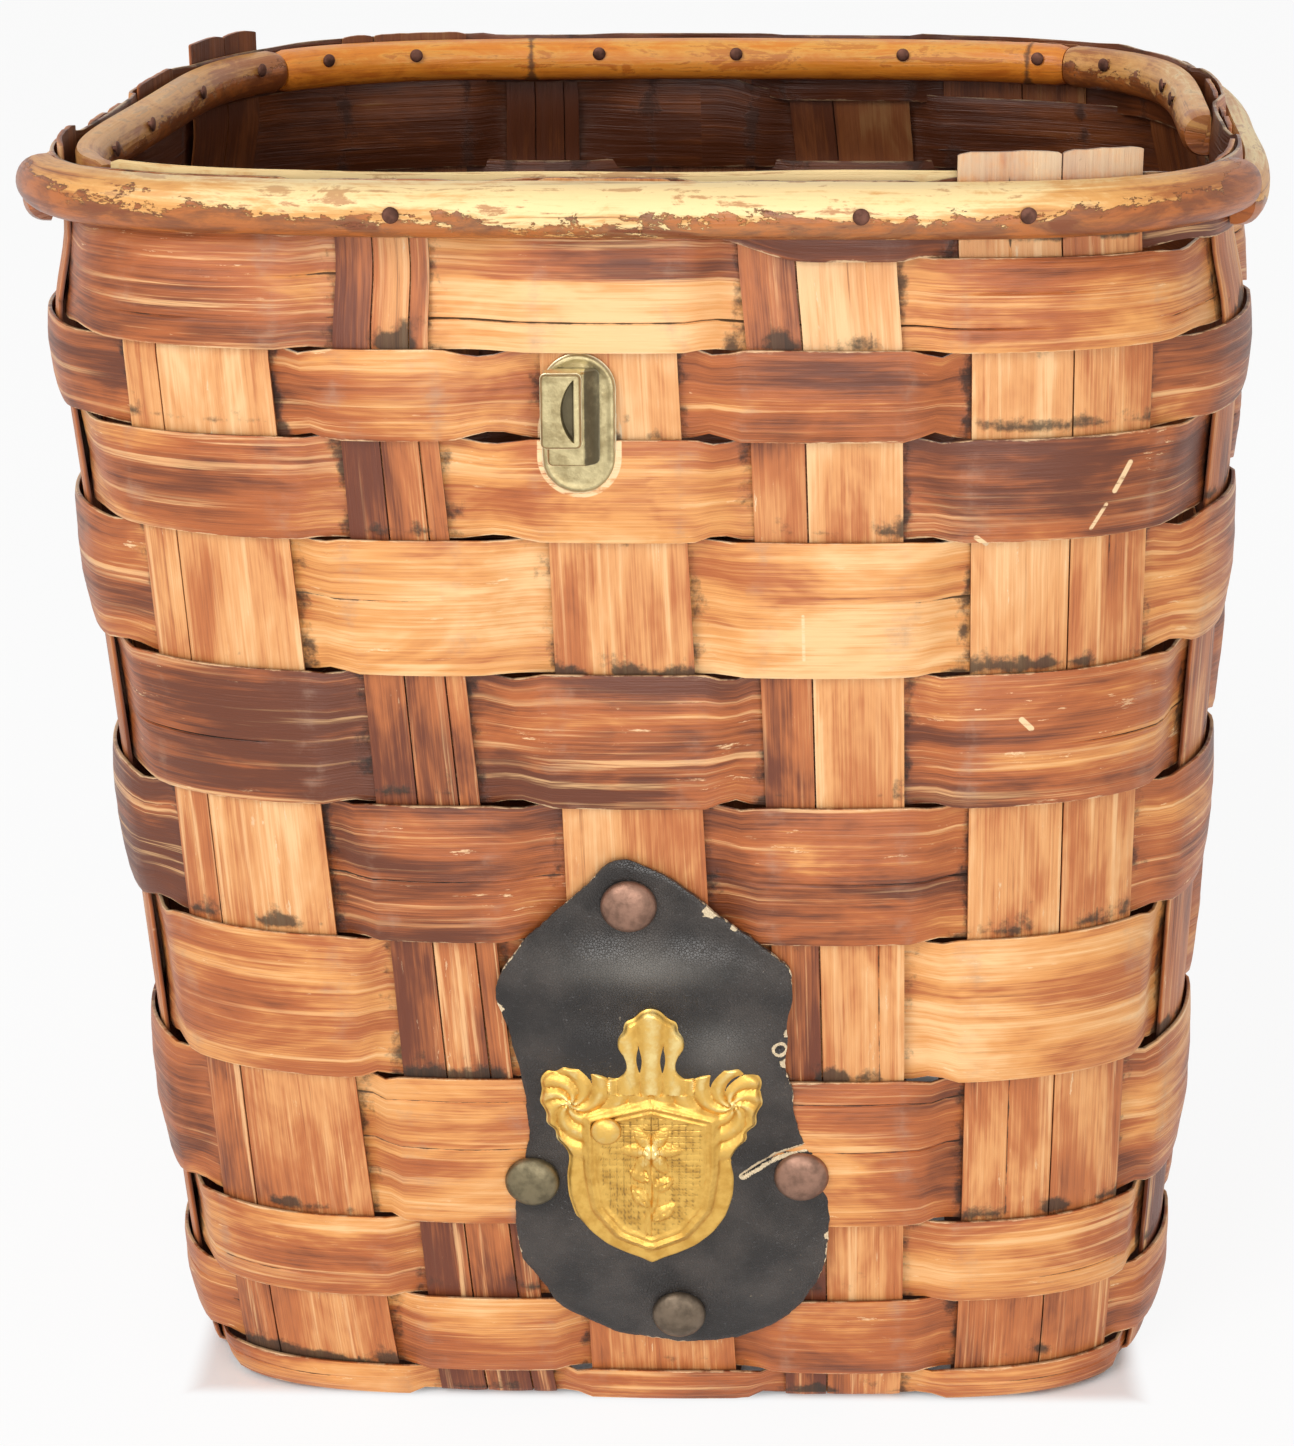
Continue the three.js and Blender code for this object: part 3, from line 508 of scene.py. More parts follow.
class Finish(Nodes):
    """A procedural material, written as sums of its patterns."""

    def __init__(self, name):
        self.material = bpy.data.materials.new(name)
        self.material.use_nodes = True
        super().__init__(self.material.node_tree)
        self.surface = self.tree.nodes["Principled BSDF"]

    def mark(self, name):
        return self.node("ShaderNodeAttribute", {"attribute_name": name}, output="Fac")

    def grain(self, along, across):
        """The piece's own coordinates, counted in ripples per metre along and across it."""
        vector = self.node("ShaderNodeAttribute", {"attribute_name": "grain"}, output="Vector")
        return self.node(
            "ShaderNodeVectorMath", {"operation": "MULTIPLY"}, {0: vector, 1: (along, across, 1)}
        )

    def place(self):
        return self.node("ShaderNodeTexCoord", output="Object")

    def cloud(self, vector, scale=1.0, detail=2.0, roughness=0.5, distortion=0.0):
        return self.node(
            "ShaderNodeTexNoise", None,
            {"Vector": vector, "Scale": scale, "Detail": detail, "Roughness": roughness,
             "Distortion": distortion},
        )

    def scars_and_halo(self, place):
        """1 on the front's scratches and on the painted light halo round the catch's lower end."""
        x, y, z = self.parts(place)
        found = 0.0
        for start, end, low, high in SCARS_AND_HALO:
            run = np.array(end) - start
            reach = run @ run
            along = (x - start[0]) * (run[0] / reach) + (z - start[1]) * (run[1] / reach)
            share = along.math("MINIMUM", along.math("MAXIMUM", along, 0.0), 1.0)
            across = x - start[0] - share * float(run[0])
            rise = z - start[1] - share * float(run[1])
            gap = across.math("SQRT", across * across + rise * rise)
            outer = 1 - gap.between(high - SCAR_SOFTNESS, high)
            found = gap.between(low - SCAR_SOFTNESS, low) * outer + found
        return found * (1 - y.between(*SCAR_FACE))

    def blend(self, share, low, high):
        """Low where the share is 0 and high where it is 1."""
        low, high = [c if isinstance(c, Signal) else (*c, 1) for c in (low, high)]
        return self.node(
            "ShaderNodeMix", {"data_type": "RGBA"}, {0: share, 6: low, 7: high}, output=2
        )

    def done(self, height=None, depth=0.0002, **sockets):
        """Feeds the surface, whose names are written with underscores, and its relief."""
        self.feed(self.surface, {name.replace("_", " "): v for name, v in sockets.items()})
        if height is not None:
            relief = self.node(
                "ShaderNodeBump", None, {"Height": height, "Distance": depth, "Strength": 1.0},
                output="Normal",
            )
            self.feed(self.surface, {"Normal": relief})
        return self.material


def splint_finish(name, colours, gloss):
    """Split wood: fibres, dark veins, scuffed edges, dust, residue and painted shade, in four
    tones, with painted highlight streaks outside and painted shade inside.
    """
    finish = Finish(name)
    place = finish.place()
    veins = finish.cloud(finish.grain(9, 420), detail=5, roughness=0.66, distortion=0.3)
    bands = finish.cloud(finish.grain(5, 130), detail=3, roughness=0.6)
    fibres = finish.cloud(finish.grain(30, 1700), detail=3, roughness=0.6)
    patches = finish.cloud(finish.grain(15, 48), detail=4, roughness=0.62, distortion=0.4)
    scuffs = finish.cloud(finish.grain(70, 420), detail=5, roughness=0.75)
    blots = finish.cloud(place, scale=120, detail=5, roughness=0.65)
    inside = finish.mark("inside")
    # The inner faces are darker: part dark stain, part painted shade.
    tone = finish.mark("tone") + (veins - 0.5) * 0.56 + (bands - 0.5) * 0.52 + 0.03
    tone = tone + (patches - 0.5) * 1.85 + (fibres - 0.5) * 0.55 - inside * 0.42
    dark, brown, tan, honey = colours.dark, colours.brown, colours.tan, colours.honey
    colour = finish.blend(tone.between(-0.12, 0.36), dark, brown)
    colour = finish.blend(tone.between(0.3, 0.68), colour, tan)
    colour = finish.blend(tone.between(0.62, 1.0), colour, honey)
    vein_mask = (1 - veins.between(0.27, 0.36)) * 0.5
    colour = finish.blend(vein_mask, colour, colours.vein)
    # Painted highlight: honey streaks on the outer faces where their gloss would catch the light.
    shine = veins.between(0.52, 0.64) * bands.between(0.44, 0.6) * (1 - inside) * 0.7
    colour = finish.blend(shine, colour, honey)
    dust = (finish.mark("dust") + (blots - 0.5) * 1.1 + (veins - 0.5) * 0.7).between(0.35, 0.95)
    colour = finish.blend(dust * 0.62, colour, colours.dust)
    # Pale raw edges and scuffs; along the splints' edges this is partly a painted highlight on
    # their lit thickness.
    worn = (finish.mark("edge") + (scuffs - 0.5) * 2.0).between(0.84, 1.12) * 0.7
    fleck = scuffs.between(0.635, 0.67) * patches.between(0.5, 0.6) * (1 - inside) * 0.85
    # The last of the scars is a painted light halo round the catch's lower end.
    scars_and_halo = finish.scars_and_halo(place) * scuffs.between(0.36, 0.5) * (1 - inside)
    worn = worn.math("MAXIMUM", worn, fleck)
    colour = finish.blend(worn.math("MAXIMUM", worn, scars_and_halo), colour, colours.worn)
    # Residue and painted shade: in the weave's corners, under the next weaver and in the cracks.
    dirt_and_shade = (finish.mark("grime") + (blots - 0.5) * 1.7 + (veins - 0.5) * 0.3).between(0.42, 0.8)
    colour = finish.blend(dirt_and_shade * 0.85, colour, colours.grime)
    # Painted shade and dark stain on the inner faces.
    colour = finish.blend(inside * 0.66, colour, colours.inner)
    roughness = gloss + (1 - veins) * 0.25 + dirt_and_shade * 0.2 + dust * 0.15
    return finish.done(
        height=veins * 0.8 + fibres * 0.35 + scuffs * 0.25 + dirt_and_shade * 0.3, depth=0.0005,
        Base_Color=colour, Roughness=roughness,
    )


def cane_finish(name, settings, skin_colours, bark_share, gloss):
    """Cane: a glossy skin worn through to pale wood on top, with bark left along the bottom."""
    deep, middle, pale = skin_colours
    finish = Finish(name)
    streaks = finish.cloud(finish.grain(8, 330), detail=5, roughness=0.68, distortion=0.2)
    fibres = finish.cloud(finish.grain(26, 1500), detail=3)
    mottle = finish.cloud(finish.grain(45, 150), detail=6, roughness=0.68, distortion=0.5)
    ragged = finish.cloud(finish.grain(38, 90), detail=6, roughness=0.7, distortion=0.8)
    chips = finish.cloud(finish.grain(150, 330), detail=5, roughness=0.75)
    tone = finish.mark("tone") + (streaks - 0.5) * 1.5 + (mottle - 0.5) * 1.7
    colour = finish.blend(tone.between(0.0, 0.45), deep, middle)
    colour = finish.blend(tone.between(0.42, 0.82), colour, pale)
    skin = (mottle - 0.5) * 2.4 + (streaks - 0.5) * 1.4
    colour = finish.blend(skin.between(0.16, 0.34) * finish.mark("dust"), colour, deep)
    bark = (finish.mark("edge") + (ragged - 0.5) * 2.1 + (chips - 0.5) * 1.3).between(
        bark_share, bark_share + 0.07
    )
    scorched = finish.blend(mottle.between(0.4, 0.58), settings.rim_bark, settings.rim_dark_bark)
    colour = finish.blend(bark * 0.9, colour, scorched)
    dark = (1 - streaks.between(0.29, 0.38)) * 0.55
    colour = finish.blend(dark, colour, settings.rim_dirt)
    dirt_and_shade = (finish.mark("grime") + (chips - 0.5) * 1.1).between(0.45, 0.8)
    colour = finish.blend(dirt_and_shade * 0.85, colour, settings.rim_dirt)
    return finish.done(
        height=streaks * 0.5 + fibres * 0.2 + bark * 0.7 + chips * 0.2, depth=0.0006,
        Base_Color=colour, Roughness=gloss + (1 - bark) * 0.1 + fibres * 0.15 + dirt_and_shade * 0.2,
    )


def metal_finish(name, colour, tarnish, shine, roughness, wear_share=0.62, grain=900):
    """Aged metal: tarnish in patches and hollows, with painted shade on the catch's slope and
    scoop, and raised places rubbed bright.
    """
    finish = Finish(name)
    place = finish.place()
    patches = finish.cloud(place, scale=220, detail=4, roughness=0.6)
    pits = finish.cloud(place, scale=grain, detail=3)
    rubbed = (finish.mark("edge") + (patches - 0.5) * 0.9).between(wear_share, wear_share + 0.35)
    # Tarnish in the badge's hollows, and painted shade on the catch's slope and scoop.
    tarnish_and_shade = (finish.mark("grime") + (patches - 0.5) * 0.8).between(0.35, 0.8)
    body = finish.blend(patches.between(0.35, 0.7), colour, tarnish)
    body = finish.blend(rubbed, body, shine)
    body = finish.blend(tarnish_and_shade * 0.85, body, tuple(0.25 * c for c in tarnish))
    return finish.done(
        height=pits * 0.4 + patches * 0.6, depth=0.0002, Base_Color=body,
        Roughness=roughness + (1 - rubbed) * 0.14 + tarnish_and_shade * 0.2 + (pits - 0.5) * 0.1,
        Metallic=0.92 - tarnish_and_shade * 0.5,
    )


def leather_finish(settings):
    """Coated leather: fine grain, rubbed grey, painted highlights on its swells, with the coating
    chipped to its pale core.
    """
    finish = Finish("patch_leather")
    place = finish.place()
    pores = finish.node(
        "ShaderNodeTexVoronoi", {"feature": "DISTANCE_TO_EDGE"}, {"Vector": place, "Scale": 1300.0}
    )
    clouds = finish.cloud(place, scale=55, detail=4)
    scuffs = finish.cloud(place, scale=420, detail=5, roughness=0.7)
    colour = finish.blend(clouds.between(0.35, 0.7), settings.leather, settings.leather_rubbed)
    rim = (finish.mark("edge") + (scuffs - 0.5) * 1.2 + (clouds - 0.5) * 1.6).between(1.1, 1.2)
    torn = (finish.mark("dust") + (scuffs - 0.5) * 1.5).between(0.62, 0.72)
    chip = rim.math("MAXIMUM", rim, torn)
    # Painted highlight: where the tone mark is set, the coating turns towards the pale sheen grey.
    painted_sheen = finish.mark("tone") * (0.6 + 0.4 * clouds)
    colour = finish.blend(painted_sheen, colour, settings.leather_painted_sheen)
    dust = scuffs.between(0.68, 0.74) * 0.35
    colour = finish.blend(dust, colour, settings.leather_core)
    colour = finish.blend(chip, colour, settings.leather_core)
    return finish.done(
        height=pores.between(0, 0.12) * 0.35 + clouds * 0.8 - chip * 1.2, depth=0.00035,
        Base_Color=colour, Roughness=0.24 + clouds * 0.16 + chip * 0.4,
    )


def colour_property(name, description, code):
    return bpy.props.FloatVectorProperty(
        name=name, description=description, subtype="COLOR", size=3, min=0, max=1,
        default=paint(code),
    )


def length_property(name, description, default):
    return bpy.props.FloatProperty(
        name=name, description=description, default=default, unit="LENGTH", min=0
    )


def number_property(name, description, default):
    return bpy.props.FloatProperty(name=name, description=description, default=default)


class SplintSettings(bpy.types.PropertyGroup):
    """The weavers' sizes and colours."""

    dark: colour_property("Dark", "The darkest stain of the weavers", 0x683217)
    brown: colour_property("Brown", "The weavers' red-brown stain", 0xB66330)
    tan: colour_property("Tan", "Where the weavers' stain is thin", 0xE59E58)
    honey: colour_property("Honey", "The weavers' bare wood", 0xF9C68A)
    vein: colour_property("Veins", "The dark veins between the weavers' fibres", 0x49251A)
    # Raw edges and scuffs, and partly the painted highlight along the weavers' edges.
    worn: colour_property("Worn", "Raw edges and scuffs of the splints", 0xF7D2A0)
    # Dark stain and painted shade on the weavers' inner faces.
    inner: colour_property("Inside", "The smoke-dark inside of the weavers", 0x421C04)
    dust: colour_property("Dust", "The dull bloom where the weavers dive", 0xB08E78)
    # Residue and painted shade in the weave's corners.
    grime: colour_property("Grime", "Dirt in the corners of the weave", 0x241A14)
    bulge: length_property("Bulge", "How far a weaver bows over an upright", 1.1 * MM)
    ridge: length_property("Ridges", "The height of the ridges along a splint", 0.2 * MM)
    crack: length_property("Cracks", "The depth of the cracks along a splint", 0.9 * MM)


class UprightSettings(bpy.types.PropertyGroup):
    """The uprights' colours."""

    dark: colour_property("Dark", "The darkest stain of the uprights", 0x6C341C)
    brown: colour_property("Brown", "The uprights' brown", 0xBE6E3B)
    tan: colour_property("Tan", "The uprights' tan", 0xE3A063)
    honey: colour_property("Honey", "The uprights' bare wood", 0xF5C48C)
    vein: colour_property("Veins", "The dark veins of the uprights", 0x6A3A24)
    worn: colour_property("Worn", "Raw edges and loose fibres of the uprights", 0xEBCDA2)
    # Dark stain and painted shade on the uprights' inner faces.
    inner: colour_property("Inside", "The smoke-dark inside of the uprights", 0x4C2408)
    dust: colour_property("Dust", "The grey bloom on the uprights' ends", 0xC9BBA4)
    # Residue above each crossing, and painted shadow under the next weaver.
    grime: colour_property("Grime", "Residue above each crossing", 0x2C2A22)


class RimSettings(bpy.types.PropertyGroup):
    """The canes' sizes and colours."""

    rim_deep: colour_property("Deep", "The cane's deepest colour", 0xB06A34)
    rim_mid: colour_property("Middle", "The cane's middle colour", 0xE2A45C)
    rim_pale: colour_property("Pale", "The cane worn to bare wood", 0xFBDC9E)
    rim_bark: colour_property("Bark", "The bark left on the cane", 0xB8682F)
    rim_dark_bark: colour_property("Dark bark", "The bark's darkest places", 0x7E4020)
    rim_dirt: colour_property("Dirt", "Dirt in the cane's streaks", 0x5B3A22)
    amber_deep: colour_property("Deep amber", "The varnished cane's deepest colour", 0xD06E20)
    amber_mid: colour_property("Amber", "The varnished cane's colour", 0xF2922E)
    amber_pale: colour_property("Pale amber", "The varnished cane's lightest colour", 0xFCB856)
    lump: length_property("Lumps", "How uneven the cane is", 0.5 * MM)


class PatchSettings(bpy.types.PropertyGroup):
    """The leather patch's and its studs' looks."""

    leather: colour_property("Leather", "The patch's black coating", 0x26211E)
    leather_rubbed: colour_property("Rubbed leather", "The coating where it is rubbed", 0x453E39)
    # The pale grey of the painted highlights on the leather's swells.
    leather_painted_sheen: colour_property("Leather sheen", "The coating polished by handling", 0x77726B)
    leather_core: colour_property("Leather core", "The core where the coating is chipped", 0xE9D3AE)
    stud: colour_property("Studs", "The studs' brown plating", 0xA27D6A)
    stud_olive: colour_property("Olive stud", "The plating of the left stud", 0x877B60)
    stud_dark: colour_property("Dark stud", "The plating of the lowest stud", 0x7F6F5E)
    billow: length_property("Billow", "How far the leather swells between its studs", 2.2 * MM)


class MetalSettings(bpy.types.PropertyGroup):
    """The catch's, the badge's and the nails' colours."""

    brass: colour_property("Brass", "The catch's aged brass", 0xBDAE84)
    # Darkened, this also gives the painted shade on the catch's slope and in its scoop.
    brass_dark: colour_property("Tarnish", "The catch's tarnish", 0x968660)
    brass_bright: colour_property("Rubbed brass", "The catch's rubbed edges", 0xEDE2BC)
    gilt: colour_property("Gilt", "The badge's gilding", 0xE6BA62)
    gilt_dark: colour_property("Dull gilt", "The badge's dull gilding", 0xD0A04C)
    gilt_bright: colour_property("Bright gilt", "The badge's raised edges", 0xF8DC94)
    iron: colour_property("Iron", "The nails' rusted iron", 0x80584A)


class StageSettings(bpy.types.PropertyGroup):
    """The floor, the lights and the camera."""

    floor: colour_property("Floor", "The colour of the floor", 0xFFFFFF)
    world: number_property("World light", "The strength of the light from all round", 0.45)
    key: number_property("Key lamp", "The power of the large lamp, in watts", 34)
    fill: number_property("Fill lamp", "The power of the small lamp, in watts", 20)
    lens: number_property("Lens", "The camera's focal length, in millimetres", 74.63)


class StageOperator(bpy.types.Operator):
    """Add the floor, the lights and the camera"""

    bl_idname = "basket.stage"
    bl_label = "Stage"

    def execute(self, context):
        settings = context.scene.basket_stage
        add_camera(settings)
        add_floor(settings)
        add_world(settings)
        add_lamp("key_lamp", KEY_PLACE, KEY_SIZE, settings.key)
        add_lamp("fill_lamp", FILL_PLACE, FILL_SIZE, settings.fill)
        context.scene.view_settings.view_transform = "Standard"
        return {"FINISHED"}


# The photograph's view, from the front and a little above.
CAMERA_PLACE = (20.53 * MM, -940.4 * MM, 550.6 * MM)
CAMERA_TILT = math.radians(90 - 17.468)
CAMERA_PAN = math.radians(1.084)
CAMERA_SHIFT = (-0.0228, -0.130)
SENSOR_WIDTH = 36

# A large lamp high on the left and a smaller one low in front, both aimed at the basket.
KEY_PLACE, KEY_SIZE = (-1.3, -1.9, 2.0), 1.6
FILL_PLACE, FILL_SIZE = (0.35, -2.3, 0.45), 1.3

# The floor is plain, white to the camera and to reflections, and dark under the basket and a
# little way behind it.
FLOOR_HALF = 6.0
FLOOR_DROP = 0.2 * MM
FLOOR_GLOW = 0.9
BACK_SHADE = 26 * MM
UNDER_SHARES = (0.88, 1.0)


def add_camera(settings):
    camera = bpy.data.cameras.new("camera")
    camera.lens = settings.lens
    camera.sensor_width = SENSOR_WIDTH
    camera.shift_x, camera.shift_y = CAMERA_SHIFT
    camera.clip_start = 0.01
    holder = bpy.data.objects.new("camera", camera)
    holder.location = CAMERA_PLACE
    holder.rotation_euler = (CAMERA_TILT, 0, CAMERA_PAN)
    bpy.context.scene.collection.objects.link(holder)
    bpy.context.scene.camera = holder


def add_floor(settings):
    corners = ((-1, -1), (1, -1), (1, 1), (-1, 1))
    mesh = bpy.data.meshes.new("floor")
    mesh.from_pydata(
        [(x * FLOOR_HALF, y * FLOOR_HALF, -FLOOR_DROP) for x, y in corners], [], [(0, 1, 2, 3)]
    )
    floor = bpy.data.objects.new("floor", mesh)
    bpy.context.scene.collection.objects.link(floor)
    finish = Finish("floor")
    mesh.materials.append(finish.done(Base_Color=(*settings.floor, 1), Roughness=0.9))
    glow = finish.node("ShaderNodeEmission", None, {"Color": (1, 1, 1, 1), "Strength": 1.0})
    x, y, _ = finish.parts(finish.place())
    x = x * (2 / FOOT_LENGTH)
    y = (y - BACK_SHADE / 2) * (2 / (FOOT_DEPTH + BACK_SHADE))
    reach = x.math("MAXIMUM", x * x, y * y)
    share = finish.seen() * reach.between(*UNDER_SHARES) * FLOOR_GLOW
    mixed = finish.node(
        "ShaderNodeMixShader", None,
        {0: share, 1: Signal(finish, finish.surface.outputs[0]), 2: glow},
    )
    finish.tree.links.new(mixed.socket, finish.tree.nodes["Material Output"].inputs["Surface"])


def add_world(settings):
    """Even light from all round, on a white background for the camera and for reflections."""
    world = bpy.data.worlds.new("studio")
    world.use_nodes = True
    nodes = Nodes(world.node_tree)
    strength = nodes.seen() * (1 - settings.world) + settings.world
    background = world.node_tree.nodes["Background"]
    nodes.feed(background, {"Strength": strength, "Color": (1, 1, 1, 1)})
    bpy.context.scene.world = world


def add_lamp(name, place, size, power):
    lamp = bpy.data.lights.new(name, "AREA")
    lamp.shape = "DISK"
    lamp.size = size
    lamp.energy = power
    holder = bpy.data.objects.new(name, lamp)
    holder.location = place
    aim = Vector((0, 0, WALL_HEIGHT / 2)) - holder.location
    holder.rotation_euler = aim.to_track_quat("-Z", "Y").to_euler()
    bpy.context.scene.collection.objects.link(holder)


def across_places(width, cracks):
    """Shares across a splint: even steps, close pairs at the edges and three at each crack."""
    steps = max(4, round(width / ACROSS_STEP))
    edge = FINE_EDGE / width
    slit = SLIT_HALF / width
    places = set(np.linspace(0, 1, steps + 1)[1:-1]) | {0, edge, 1 - edge, 1}
    places = {p for p in places if all(abs(p - c) > 2 * slit for c in cracks)}
    for crack in cracks:
        places |= {crack - slit, crack, crack + slit}
    return np.array(sorted(places))


def crack_depths(places, cracks, along, seed):
    """How open each crack is along a splint, from 0 to 1, at each place across it."""
    depth = np.zeros((len(along), len(places)))
    for number, crack in enumerate(cracks):
        column = int(np.argmin(np.abs(places - crack)))
        open_share = ripple(along / CRACK_RUN, seed=seed + 3.7 * number) * 1.6 - 0.25
        depth[:, column] = np.clip(open_share, 0, 1)
    return depth


def splint_marks(places, width):
    """1 at a splint's two edges and 0 over the rest of it."""
    nearest = np.minimum(places, 1 - places) * width
    return np.clip(1 - nearest / SCUFF_REACH, 0, 1)


def ridges_on(along, across, kinds, seed):
    """The fine and the broad ridges along a splint."""
    return sum(
        strength * ripple(along / run, across / width, seed=seed + number)
        for number, (run, width, strength) in enumerate(kinds)
    )


class Course(NamedTuple):
    """A row of weaving laid out along its length: where it crosses each upright."""

    turns: np.ndarray
    along: np.ndarray
    starts: np.ndarray
    ends: np.ndarray
    signs: np.ndarray
    seam: float
    total: float


def course_of(row):
    height = (LEVELS[row] + LEVELS[row + 1]) / 2
    plan = plan_at(height)
    edges = []
    for column in COLUMNS:
        shares, _ = column_shares(column, height, (0.0, 1.0))
        points, _ = side_points(column.side, shares, plan)
        pair = [turn_of(point, plan) for point in points]
        edges.append(pair if column.side in ("front", "right") else pair[::-1])
    first = edges[0][0] - 0.01
    fine = first + np.linspace(0, 1, FINE_TURNS + 1)
    length = lengths_along(turn_points(fine, plan))
    total = length[-1]
    unwrapped = np.mod(np.array(edges) - first, 1) + first
    starts, ends = [np.interp(unwrapped[:, i], fine, length) for i in (0, 1)]
    signs = np.array([1 if (place + row) % 2 == 0 else -1 for place in range(len(COLUMNS))])
    hidden = SEAM_PLACE - (row + 1) % 2
    seam = (starts[hidden] + ends[hidden]) / 2
    along = np.linspace(0, total, round(total / ALONG_STEP), endpoint=False)
    along = np.sort(np.concatenate((along, (seam - SEAM_GAP, seam))))
    return Course(np.interp(along, length, fine), along, starts, ends, signs, seam, total)


def wave_of(course):
    """-1 inside an upright and 1 outside it, and the bow of each crossing from 0 to 1."""
    knots = np.stack((course.starts - CROSSING_MARGIN, course.ends + CROSSING_MARGIN), 1).ravel()
    values = np.repeat(course.signs, 2)
    knots = np.concatenate((knots[-1:] - course.total, knots, knots[:1] + course.total))
    values = np.concatenate((values[-1:], values, values[:1]))
    wave = np.sin(np.interp(course.along, knots, values) * math.pi / 2)
    bow = np.zeros_like(course.along)
    for start, end in zip(course.starts, course.ends):
        share = (course.along - start) / (end - start)
        bow += np.where((share > 0) & (share < 1), np.sin(np.clip(share, 0, 1) * math.pi), 0)
    return wave[:, None], bow[:, None]


def row_tones(row, course):
    """The weaver's tone along its length: chosen on the front and left to chance elsewhere."""
    front = (0, 2, 4) if row % 2 == 0 else (17, 1, 3, 5)
    picked = dict(zip(front, FRONT_TONE_SHARES[row]))
    tones = [
        picked.get(place, 0.38 + 0.3 * noise.noise(Vector((place * 1.7, row * 2.3, 5.1))))
        for place in range(len(COLUMNS))
    ]
    middles = (course.starts + course.ends) / 2
    outside = course.signs > 0
    told = np.interp(course.along, middles[outside], np.array(tones)[outside], period=course.total)
    return told[:, None]


def row_cracks(row, width):
    """Where a weaver is cracked along its length, as shares across it."""
    cracks = [
        0.5 + 0.38 * noise.noise(Vector((row * 3.1, number * 5.7, 2.2))) * 2
        for number in range(3 if width > WIDE_ROW else 1)
    ]
    return [c for i, c in enumerate(cracks) if all(abs(c - o) > 0.12 for o in cracks[:i])]


class WeaversOperator(bpy.types.Operator):
    """Add the rows of weaving"""

    bl_idname = "basket.weavers"
    bl_label = "Weavers"

    def execute(self, context):
        settings = context.scene.basket_splints
        material = splint_finish("weaver_wood", settings, 0.3)
        for row, name in enumerate(ROWS):
            weaver = Weaver(row, settings)
            build = Build()
            build.slab(*weaver.faces(), weaver.grain(), closed=True, **weaver.marks())
            install(build.piece(f"{name}_splint", material), "basket", "weaver_splint", name)
        return {"FINISHED"}


